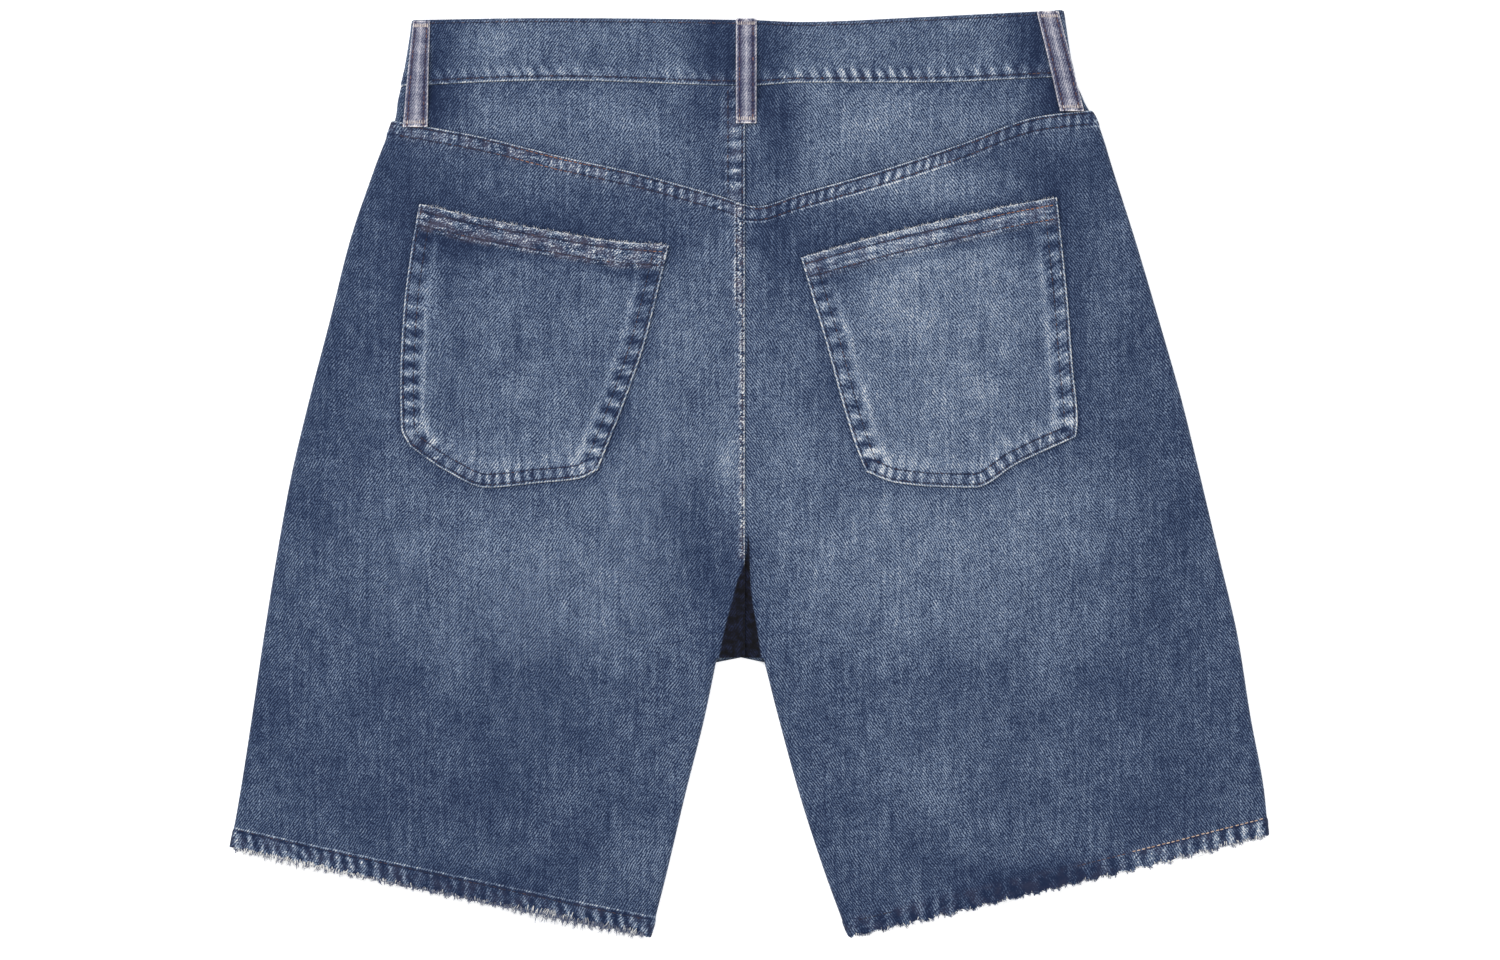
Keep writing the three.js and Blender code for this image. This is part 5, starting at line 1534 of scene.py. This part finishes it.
def press_button():
    radius, height = BUTTON_PROFILE["radius"], BUTTON_PROFILE["height"]
    turn = np.linspace(0, 2 * math.pi, BUTTON["turns"], endpoint=False)
    ring = np.stack([
        BUTTON["x"] + np.outer(radius[1:-1], np.cos(turn)), BUTTON["y"] + np.outer(radius[1:-1], np.sin(turn)),
        np.repeat(height[1:-1, None], len(turn), 1),
    ], -1).reshape(-1, 3)
    ends = np.array([[BUTTON["x"], BUTTON["y"], height[0]], [BUTTON["x"], BUTTON["y"], height[-1]]])
    at = np.arange(len(ring)).reshape(-1, len(turn))
    after = np.roll(at, -1, 1)
    sides = np.stack([at[:-1], at[1:], after[1:], after[:-1]], -1).reshape(-1, 4)
    face = np.stack([np.full(len(turn), len(ring)), at[0], after[0]], -1)
    back = np.stack([np.full(len(turn), len(ring) + 1), after[-1], at[-1]], -1)
    piece = add_mesh("button_of_the_waist", np.concatenate([ring, ends]), [sides, face, back], brass, sharp=60)
    return dress(piece, "button_metal", "waist_button")


button = press_button()

# %% [markdown]
# ## Stitches
#
# A lockstitch lies on the cloth for some two and a half millimetres and dives in at both ends. One
# is modelled as a small capsule that sinks at its ends, and arrays of numbers copy it along every
# seam line. An instance on a curve would be shorter to write, but joined meshes travel better into
# other programs, and each stitch can carry its own dye.

# %% Runs of stitches
rng = np.random.default_rng(11)
STITCH = {"pitch": 3.1, "length": 2.4, "radius": 0.27, "sides": 5}
CAPSULE = table("t radius rise", [(0, 0.4, -0.9), (0.16, 1, 0.05), (0.84, 1, 0.05), (1, 0.4, -0.9)])


def stitch_run(line, surface, pitch=STITCH["pitch"], length=STITCH["length"], dye=0.15, wander=0.10, up=1):
    """Starts, ends, ups and dyes of the stitches along a line, on a surface that is asked at x, y."""
    steps = np.hypot(*np.diff(line, axis=0).T)
    lengths = np.concatenate([[0], np.cumsum(steps)])
    count = int(lengths[-1] // pitch)
    middle = (np.arange(count) + 0.5) * pitch + rng.normal(0, 0.06 * pitch, count)
    side_step = rng.normal(0, wander, (2, count))

    def at(place, shift):
        return surface(np.interp(place, lengths, line[:, 0]), np.interp(place, lengths, line[:, 1]) + shift)

    starts, ends = at(middle - length / 2, side_step[0]), at(middle + length / 2, side_step[1])
    dyes = np.clip(rng.normal(0, 0.10, count) + (dye(starts) if callable(dye) else dye), 0, 1)
    return starts, ends, np.full(count, up), dyes


def sew_stitches(name, runs, material, slot="frayed_thread", radius=STITCH["radius"]):
    """All the stitches of several runs as one mesh."""
    starts, ends, up, dyes = (np.concatenate([run[i] for run in runs]) for i in range(4))
    axis = ends - starts
    axis /= np.linalg.norm(axis, axis=1)[:, None]
    upward = np.stack([0 * up, 0 * up, up], -1)
    across = np.cross(upward, axis)
    across /= np.linalg.norm(across, axis=1)[:, None]
    upward = np.cross(axis, across)
    rings = len(CAPSULE["t"])
    turn = np.linspace(0, 2 * math.pi, STITCH["sides"], endpoint=False)
    points = np.empty((len(starts), rings, len(turn), 3))
    for i in range(rings):
        centre = lerp(starts, ends, CAPSULE["t"][i]) + upward * radius * CAPSULE["rise"][i]
        for j, angle in enumerate(turn):
            arm = across * math.cos(angle) + upward * math.sin(angle)
            points[:, i, j] = centre + arm * radius * CAPSULE["radius"][i]
    at = np.arange(points[..., 0].size).reshape(points.shape[:3])
    after = np.roll(at, -1, 2)
    sides = np.stack([at[:, :-1], after[:, :-1], after[:, 1:], at[:, 1:]], -1).reshape(-1, 4)
    caps = np.concatenate([at[:, 0, ::-1], at[:, -1]])
    numbers = {"dye": np.repeat(dyes, rings * len(turn))}
    piece = add_mesh(name, points.reshape(-1, 3), [sides, caps], material, numbers, sharp=80)
    return dress(piece, slot)


def straight(start, end, count=60):
    return np.stack([np.linspace(start[0], end[0], count), np.linspace(start[1], end[1], count)], -1)


def thread_on_back(side, clear=0.12):
    def surface(x, y):
        lift = back_relief(side, x, y)[0]
        depth = under_edge(x, SEAT_EDGE["x"]) * (y > CROTCH_Y - 1) if side == "right" else 0 * x
        return back_point(side, x, y, depth - lift - clear)
    return surface


def copper_near(x, y, reach, base=0.12):
    """Dye that turns to orange-brown near one place."""
    def dye(points):
        far = np.hypot(points[:, 0] - x, 3 * (points[:, 1] - y)) / reach
        return base + 0.75 * np.exp(-far**2)
    return dye


# %% Stitches of the seat, the yokes and the hems
def seam_stitches():
    runs = []
    for side in SIDES:
        way = INWARD[side]
        outer = float(outseam_x[side](229)) + way * 4
        x = np.linspace(outer, SEAT_EDGE["x"] + way * -1.5, 200)
        for offset in (1.7, 8.4):
            line = np.stack([x, yoke_seam_y(x) - offset / 0.965], -1)
            dye = copper_near(-126, 200, 26) if side == "left" else 0.15
            runs.append(stitch_run(line, thread_on_back(side), dye=dye))
        outer_x, outer_y, inner_x, inner_y = hem_line(side)
        shift = HEM_BAND * 1.02
        line = straight((outer_x + way * 3.5, outer_y + shift), (inner_x - way * 3.5, inner_y + shift), 400)
        kept = line if side == "left" else line[line[:, 0] < 90]
        runs.append(stitch_run(kept, thread_on_back(side), pitch=3.2, dye=0.05))
        if side == "right":
            by_the_tan = line[(line[:, 0] > 204) & (line[:, 0] < 237)]
            runs.append(stitch_run(by_the_tan, thread_on_back(side), pitch=3.2, dye=0.3))
    for offset in (1.5, 5.2):
        x = SEAT_EDGE["x"] - offset
        line = straight((x, float(yoke_seam_y(x)) - 1), (x, CROTCH_Y + 3), 200)
        runs.append(stitch_run(line[line[:, 1] > (-48 if offset < 2 else 104)], thread_on_back("left"), dye=0.06))
    for offset in (1.6, 10.6):
        x = SEAT_EDGE["x"] - offset
        line = straight((x, float(yoke_seam_y(x)) + 3), (x, float(waist_seam_y(x)) - 1), 60)

        def on_yoke(px, py):
            return back_point("left", px, py, yoke_depth("left", px, py) - yoke_relief("left", px, py)[0] - 0.12)
        runs.append(stitch_run(line, on_yoke, dye=0.12))
    return runs


def tan_hem_stitches():
    """The stretch of the right hem where the thread has kept its tan colour."""
    outer_x, outer_y, inner_x, inner_y = hem_line("right")
    shift = HEM_BAND * 1.02
    line = straight((outer_x - 3.5, outer_y + shift), (inner_x, inner_y + shift), 400)
    return [stitch_run(line[line[:, 0] > 238], thread_on_back("right"), pitch=3.2, dye=0.5)]


seam_thread_work = sew_stitches("stitches_of_seams_and_hems", seam_stitches(), seam_thread)
tan_thread_work = sew_stitches("stitches_of_the_right_hem", tan_hem_stitches(), tan_thread, radius=0.38)

# %% Stitches of the pockets
def inset_line(side, name, offset, count=400):
    """A pocket's side moved inwards by offset, cut where it meets the other sides."""
    line = pocket_line(side, name, count)
    heading = np.gradient(line, axis=0)
    normal = np.stack([-heading[:, 1], heading[:, 0]], -1)
    normal /= np.linalg.norm(normal, axis=1)[:, None]
    centre = np.mean([pocket_line(side, n, 40).mean(0) for n in POCKET_CURVES[side]], axis=0)
    normal *= np.sign(np.sum(normal * (centre - line), axis=1))[:, None]
    moved = line + normal * offset
    others = [near_line(pocket_line(side, n), moved[:, 0], moved[:, 1])[0] for n in POCKET_CURVES[side] if n != name]
    room = 1.2 if name == "top" else min(offset, 8.4) - 0.1
    return moved[np.minimum.reduce(others) > room]


def pocket_stitches():
    runs = []
    for side in SIDES:
        def surface(x, y, side=side):
            return back_point(side, x, y, -SEAM_GAP - pocket_relief(side, x, y)[0] - 0.12)
        for offset in POCKET_HEM_LINES:
            dye = copper_near(-56, 140, 14) if side == "left" else copper_near(180, 172, 40, 0.2)
            runs.append(stitch_run(inset_line(side, "top", offset), surface, dye=dye))
        for name in ("left", "right", "bottom"):
            for offset in (POCKET["outer_line"], POCKET["inner_line"]):
                dye = 0.06 if offset < 3 else 0.1
                runs.append(stitch_run(inset_line(side, name, offset), surface, pitch=2.9, length=2.2, dye=dye))
    return runs


pocket_thread_work = sew_stitches("stitches_of_pockets", pocket_stitches(), seam_thread)

# %% Stitches of the waistband
def band_stitches():
    runs = []

    def on_back(x, y):
        points = np.empty((len(x), 3))
        for side, here in (("left", x < CENTRE_X), ("right", x >= CENTRE_X)):
            lift = band_relief(x[here], y[here], x[here])[0]
            points[here] = back_point(side, x[here], y[here], -BAND_PROUD - lift - 0.12, 0)
        return points

    def on_front(x, y):
        points = front_point("left", x, y, 0.22, 0)
        right = x >= CENTRE_X
        points[right] = front_point("right", x[right], y[right], 0.22, 0)
        return points

    for height, from_top in ((BAND["low_line"], False), (BAND["top_line"], True)):
        for surface, start, end, up in ((on_back, -207, 192, 1), (on_front, 186, 32, -1), (on_front, 10, -200, -1)):
            x = np.linspace(start, end, 240)
            y = waist_top_y(x) - height if from_top else waist_seam_y(x) + height
            runs.append(stitch_run(np.stack([x, y], -1), surface, dye=0.1, up=up))
    end_x = BAND["left_end"] - 2
    end = straight((end_x, float(waist_seam_y(end_x)) + 3), (end_x, float(waist_top_y(end_x)) - 3))
    runs.append(stitch_run(end, on_front, dye=0.1, up=-1))
    return runs


band_thread_work = sew_stitches("stitches_of_the_band", band_stitches(), seam_thread)

# %% Stitches and bar tacks of the loops
def tack_run(surface, t_middle, half=0.018, count=17, s_room=0.1, up=1):
    """A bar tack: close zigzag stitches across a loop."""
    s = np.linspace(s_room, 1 - s_room, count)
    t_low, t_high = np.full(count, t_middle - half), np.full(count, t_middle + half)
    t_low, t_high = t_low + rng.normal(0, 0.002, count), t_high + rng.normal(0, 0.002, count)
    starts, ends = surface(s, t_low), surface(s + 0.03 * np.where(np.arange(count) % 2, 1, -1), t_high)
    return starts, ends, np.full(count, up), np.clip(rng.normal(0.6, 0.2, count), 0, 1)


def loop_runs():
    lines, tacks = [], []
    for place in BACK_LOOPS:
        def face(s, t, place=place):
            points = loop_face(place, s, t)
            return points + np.array([0, 0, 0.12])
        for s in (LOOP["line"], 1 - LOOP["line"]):
            t = (np.arange(20) + 0.5) / 20.5
            starts, ends = face(0 * t + s, t - 0.018), face(0 * t + s, np.minimum(t + 0.018, 0.99))
            lines.append((starts, ends, np.full(20, 1), np.clip(rng.normal(0.3, 0.15, 20), 0, 1)))
        tacks += [tack_run(face, 0.045), tack_run(face, 0.955)]
    for side in SIDES:
        def face(s, t, side=side):
            return front_loop_face(side, s, t) + np.array([0, 0, 0.2])
        for s in (LOOP["line"], 1 - LOOP["line"]):
            t = (np.arange(20) + 0.5) / 20.5
            starts, ends = face(0 * t + s, t - 0.018), face(0 * t + s, np.minimum(t + 0.018, 0.99))
            lines.append((starts, ends, np.full(20, -1), np.clip(rng.normal(0.3, 0.15, 20), 0, 1)))
        tacks += [tack_run(face, 0.045, up=-1), tack_run(face, 0.955, up=-1)]
    return lines, tacks


loop_lines, loop_tacks = loop_runs()
loop_thread_work = sew_stitches("stitches_of_loops", loop_lines, seam_thread, radius=0.24)
tack_work = sew_stitches("bar_tacks_of_loops", loop_tacks, tack_thread, radius=0.22)

# %% Stitches of the fronts
def front_stitches():
    runs = []
    for side in SIDES:
        def surface(x, y, side=side):
            depth = under_edge(x, FLY["x"]) * (y > CROTCH_Y - 1) if side == "right" else 0 * x
            return front_point(side, x, y, depth + 0.22)
        way = INWARD[side]
        for offset in (1.8, 8.0):
            edge = scoop_line(side)
            heading = np.gradient(edge, axis=0)
            normal = np.stack([-heading[:, 1], heading[:, 0]], -1) / np.linalg.norm(heading, axis=1)[:, None]
            normal *= np.sign(normal[:, :1] * way + 1e-9)
            line = edge + normal * offset
            runs.append(stitch_run(line[line[:, 1] < 244], surface, dye=0.12, up=-1))
        outer_x, outer_y, inner_x, inner_y = hem_line(side)
        shift = HEM_BAND * 1.02
        line = straight((outer_x + way * 4, outer_y + shift), (inner_x - way * 4, inner_y + shift))
        runs.append(stitch_run(line, surface, pitch=3.4, dye=0.1, up=-1))
        y = np.linspace(CROTCH_Y - 6, HEM[side]["inner"] + 14, 120)
        runs.append(stitch_run(np.stack([inseam_x[side](y) - way * 4.8, y], -1), surface, dye=0.1, up=-1))
        if side == "left":
            for offset in (0, 6):
                runs.append(stitch_run(fly_line(offset), surface, dye=0.15, up=-1))
            for offset in (1.6, 6.6):
                x = FLY["x"] - offset
                line = straight((x, FLY_STITCH["low"] - 4), (x, CROTCH_Y + 4), 160)
                runs.append(stitch_run(line, surface, dye=0.12, up=-1))
    return runs


front_thread_work = sew_stitches("stitches_of_the_fronts", front_stitches(), seam_thread)

# %% [markdown]
# ## Frayed yarn
#
# A raw hem loses its crosswise yarns, and the lengthwise ones are left hanging: white where they
# were the filling, blue where they are warp. Hair particles would be quick, but they can't be kept
# as a mesh, so each yarn is a thin bent tube with three sides. A short table says how long and how
# white the fray is along each hem, because a hem wears in patches.

# %% Bent yarns
YARN_SHARES = np.array([0, 0.3, 0.6, 0.85, 1.0])
YARN_TAPER = np.array([1.0, 1.0, 0.85, 0.6, 0.2])


def spin_yarns(name, roots, middles, tips, radius, dyes, nodes=()):
    """One mesh of thin bent tubes, each from a root by way of a middle to a tip."""
    t = YARN_SHARES[None, :, None]
    r, m, e = roots[:, None], middles[:, None], tips[:, None]
    line = (1 - t) ** 2 * r + 2 * t * (1 - t) * m + t**2 * e
    axis = 2 * (1 - t) * (m - r) + 2 * t * (e - m)
    axis /= np.maximum(np.linalg.norm(axis, axis=2, keepdims=True), 1e-6)
    across = np.cross(axis, [0.0, 0.12, 1.0])
    across /= np.maximum(np.linalg.norm(across, axis=2, keepdims=True), 1e-6)
    upward = np.cross(axis, across)
    turn = np.array([0, 2, 4]) * math.pi / 3
    size = (radius[:, None] * YARN_TAPER)[:, :, None, None]
    arms = across[:, :, None] * np.cos(turn)[:, None] + upward[:, :, None] * np.sin(turn)[:, None]
    points = line[:, :, None] + arms * size
    at = np.arange(points[..., 0].size).reshape(points.shape[:3])
    after = np.roll(at, -1, 2)
    sides = np.stack([at[:, :-1], at[:, 1:], after[:, 1:], after[:, :-1]], -1).reshape(-1, 4)
    caps = np.concatenate([at[:, 0], at[:, -1, ::-1]])
    numbers = {"dye": np.repeat(dyes, points.shape[1] * points.shape[2])}
    piece = add_mesh(name, points.reshape(-1, 3), [sides, caps], frayed_yarn, numbers, sharp=180)
    return dress(piece, "frayed_thread", *nodes)


# %% Frayed hems
HEM_FRAY = {
    "left": table("share length white over", [
        (0, 2.0, 0.3, 1.0), (0.03, 3.2, 0.36, 2.0), (0.10, 4.2, 0.46, 2.6), (0.20, 4.0, 0.42, 2.6),
        (0.30, 3.0, 0.26, 2.4), (0.40, 2.6, 0.05, 3), (0.60, 2.6, 0.03, 4), (0.70, 3.4, 0.05, 5), (0.76, 6.0, 0.16, 6),
        (0.83, 5.4, 0.12, 6), (0.90, 3.8, 0.06, 6), (1.0, 3.0, 0.06, 4),
    ]),
    "right": table("share length white over", [
        (0, 1.8, 0.2, 2.4), (0.15, 2.0, 0.2, 2.6), (0.30, 1.8, 0.08, 1.4), (0.38, 2.4, 0.1, 1.4),
        (0.50, 1.6, 0.03, 1.8), (0.70, 1.8, 0.03, 1.8), (0.85, 2.4, 0.14, 1.8), (1.0, 2.0, 0.1, 1.4),
    ]),
}
YARNS = {"left": 1650, "right": 1100, "front": 520, "radius": 0.22, "clump": 4.6}


def fray_hem(side, face):
    """Yarns that hang from a hem: blue ones stay short and white ones reach further."""
    outer_x, outer_y, inner_x, inner_y = hem_line(side)
    count = YARNS[side if face == "back" else "front"]
    seed = RAGGED[side]["seed"]
    rows = HEM_FRAY[side] if face == "back" else HEM_FRAY["right"]
    share = np.sort(rng.uniform(0.012, 0.988, count))
    is_white = rng.uniform(0, 1, count) < through(rows, "share", "white")(share)
    x = lerp(outer_x, inner_x, share)
    over = rng.uniform(0.3, 1, count) * through(rows, "share", "over")(share) * (0.6 + 0.4 * is_white)
    edge_y = lerp(outer_y, inner_y, share) + ragged(x, **RAGGED[side])
    y = edge_y + over
    on_top = (over > 0.8) & (face == "back")
    if face == "back":
        surface = -back_relief(side, x, y)[0] - 0.14
        roots = back_point(side, x, y, np.where(on_top, surface, rng.uniform(0.1, CLOTH - 0.15, count)))
    else:
        roots = front_point(side, x, edge_y + 0.5, rng.uniform(0.15, CLOTH - 0.15, count))
    clumps = 0.62 + 0.7 * uneven_wave(x, YARNS["clump"], seed + 1)
    length = through(rows, "share", "length")(share) * clumps * rng.uniform(0.35, 1.1, count)
    length = over + np.maximum(0.4, length) * np.where(is_white, 1.0, 0.85)
    slope = math.atan2(inner_y - outer_y, inner_x - outer_x)
    down = slope - INWARD[side] * math.pi / 2
    lean = 0.35 * uneven_wave(x, 17, seed + 3) + rng.normal(0, 0.18, count)
    heading = np.stack([np.cos(down + lean), np.sin(down + lean), 0 * lean], -1)
    bend = np.stack([np.cos(down + lean + 1.57), np.sin(down + lean + 1.57), 0 * lean], -1)
    drop = np.minimum(roots[:, 2] - 0.35, rng.uniform(0.05, 0.45, count) * length)
    curl = rng.normal(0, 0.14, count) * length
    tips = roots + heading * length[:, None] + bend * curl[:, None] - np.array([0, 0, 1]) * drop[:, None]
    middles = roots + heading * 0.6 * length[:, None] - bend * 0.5 * curl[:, None]
    middles[:, 2] += 0.25 + 0.5 * on_top
    dyes = np.where(is_white, rng.uniform(0.6, 1.0, count), rng.uniform(0.0, 0.42, count))
    radius = YARNS["radius"] * rng.uniform(0.6, 1.3, count)
    return spin_yarns(f"frayed_hem_{face}_{side}", roots, middles, tips, radius, dyes, [f"fringe_{face}_{side}"])


frays = {(face, side): fray_hem(side, face) for side in SIDES for face in ("back", "front")}

# %% Fluff on the pocket mouths and loose yarns on the hems
def fluff():
    """Short fibres along the worn mouths of the pockets, and long loose yarns along the hems."""
    roots, tips, size = [], [], []
    for side in SIDES:
        count = 240
        place = POCKET_CURVES[side]["top"](np.sort(rng.uniform(0.03, 0.99, count)))
        x, y = place[:, 0], place[:, 1] - rng.uniform(0.2, 1.6, count)
        root = back_point(side, x, y, -SEAM_GAP - pocket_relief(side, x, y)[0] + 0.15)
        away = rng.normal(math.pi / 2, 0.7, count)
        length = rng.uniform(0.6, 2.2, count)
        step = np.stack([np.cos(away) * length, np.sin(away) * length, rng.uniform(0.0, 0.35, count)], -1)
        roots.append(root)
        tips.append(root + step)
        size.append(rng.uniform(0.06, 0.12, count))
        outer_x, outer_y, inner_x, inner_y = hem_line(side)
        count = 46
        share = rng.uniform(0.04, 0.95, count)
        x = lerp(outer_x, inner_x, share)
        root = back_point(side, x, lerp(outer_y, inner_y, share) + rng.uniform(0.6, 2.0, count), 0.5)
        along = math.atan2(inner_y - outer_y, inner_x - outer_x) + rng.normal(0, 0.25, count)
        length = rng.uniform(4, 15, count)
        step = np.stack([np.cos(along) * length, np.sin(along) * length - 1.5, 0 * length - 0.8], -1)
        roots.append(root)
        tips.append(root + step)
        size.append(rng.uniform(0.09, 0.14, count))
    roots, tips, size = (np.concatenate(part) for part in (roots, tips, size))
    middles = (roots + tips) / 2 + np.stack([0 * size, rng.normal(-0.6, 0.8, len(size)), 0 * size + 0.2], -1)
    return spin_yarns("loose_fibres", roots, middles, tips, size, np.clip(rng.normal(0.9, 0.15, len(size)), 0, 1))


loose_fibres = fluff()

# %% [markdown]
# ## Which pieces are sheets
#
# Every piece of cloth is listed with the size it was cut to: the width and length of the piece that shows, all round
# where it is a tube, and its flat area.

# %% Cuts of the cloth, in metres and square metres
CUTS = [
    (backs["left"], 0.331, 0.518, 0.1300, ["front_left", "back_right", "yoke_left"], [frays["back", "left"]]),
    (backs["right"], 0.346, 0.524, 0.1340, ["front_right", "yoke_right"], [frays["back", "right"]]),
    (fronts["left"], 0.328, 0.541, 0.1340, ["table_top"], [frays["front", "left"]]),
    (fronts["right"], 0.354, 0.541, 0.1405, ["table_top"], [frays["front", "right"]]),
    (yokes["left"], 0.229, 0.078, 0.0125, ["front_left", "yoke_right"], []),
    (yokes["right"], 0.239, 0.085, 0.0132, ["front_right"], []),
    (waistband, 0.902, 0.041, 0.0369, ["front_left", "front_right", "yoke_left", "yoke_right"], []),
    (pockets["left"], 0.170, 0.179, 0.0236, ["back_left"], []),
    (pockets["right"], 0.175, 0.183, 0.0244, ["back_right"], []),
    (facings["left"], 0.131, 0.101, 0.0082, ["front_left"], []),
    (facings["right"], 0.135, 0.104, 0.0084, ["front_right"], []),
]


def declare_sheets():
    for piece, width, length, area, rests_on, with_pieces in CUTS:
        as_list(rests_on)
        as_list(with_pieces)
    for place, piece in back_loops.items():
        loop = BACK_LOOPS[place]
        width, length = loop["low"][1] - loop["low"][0], loop["top"][2] - loop["low"][2]
    for piece in front_loops.values():
        length = FRONT_LOOP["top"] - FRONT_LOOP["low"]
    print("sheets declared:", len(CUTS) + len(back_loops) + len(front_loops))


declare_sheets()

# %% [markdown]
# ## The table, the light and the camera
#
# The camera looks straight down, as in the photograph, so the garment shows its true outline. The
# light is soft from all sides, with one large lamp from the upper left that shows the creases.

# %% Table
def lay_table():
    mesh = bpy.data.meshes.new("table_top")
    half, low = 3.0, -0.0003
    corners = [(-half, -half, low), (half, -half, low), (half, half, low), (-half, half, low)]
    mesh.from_pydata(corners, [], [(0, 1, 2, 3)])
    material, tree, surface = plain_material("pale table")
    place = add_node(tree, "ShaderNodeTexCoord").outputs["Object"]
    tone = rise(tree, noise(tree, place, 3.0, 3.0), 0.3, 0.7)
    colour = blend_colours(tree, tone, srgb(246, 246, 247), srgb(250, 250, 250))
    tree.links.new(colour, surface.inputs["Base Color"])
    surface.inputs["Roughness"].default_value = 0.9
    surface.inputs["Specular IOR Level"].default_value = 0.1
    surface.inputs["Emission Color"].default_value = (1, 1, 1, 1)
    surface.inputs["Emission Strength"].default_value = 0.4
    mesh.materials.append(material)
    top = bpy.data.objects.new("table_top", mesh)
    bpy.context.scene.collection.objects.link(top)


lay_table()

# %% Light
def area_light(name, place, size, power):
    lamp = bpy.data.lights.new(name, "AREA")
    lamp.shape, lamp.size, lamp.energy = "SQUARE", size, power
    light = bpy.data.objects.new(name, lamp)
    light.location = place
    light.rotation_euler = (-Vector(place)).to_track_quat("-Z", "Y").to_euler()
    bpy.context.scene.collection.objects.link(light)


scene = bpy.context.scene
scene.view_settings.view_transform = "Standard"
scene.world = scene.world or bpy.data.worlds.new("soft room")
scene.world.use_nodes = True
sky = scene.world.node_tree.nodes["Background"]
sky.inputs["Color"].default_value = (1, 1, 1, 1)
sky.inputs["Strength"].default_value = 0.66
area_light("window", (-1.5, 1.3, 2.0), 1.5, 48)
area_light("fill", (1.7, -1.3, 2.2), 1.8, 30)

# %% Camera straight above
VIEW = {"width": 0.945, "lens": 85, "sensor": 36, "middle": (0.0, -0.00126), "cloth_height": 0.009}
camera = bpy.data.cameras.new("camera")
camera.lens, camera.sensor_width = VIEW["lens"], VIEW["sensor"]
camera.clip_start, camera.clip_end = 0.05, 20
eye = bpy.data.objects.new("camera", camera)
height = VIEW["width"] * VIEW["lens"] / VIEW["sensor"] + VIEW["cloth_height"]
eye.location = (*VIEW["middle"], height)
bpy.context.scene.collection.objects.link(eye)
scene.camera = eye
print("camera", round(height, 3), "m above the table")
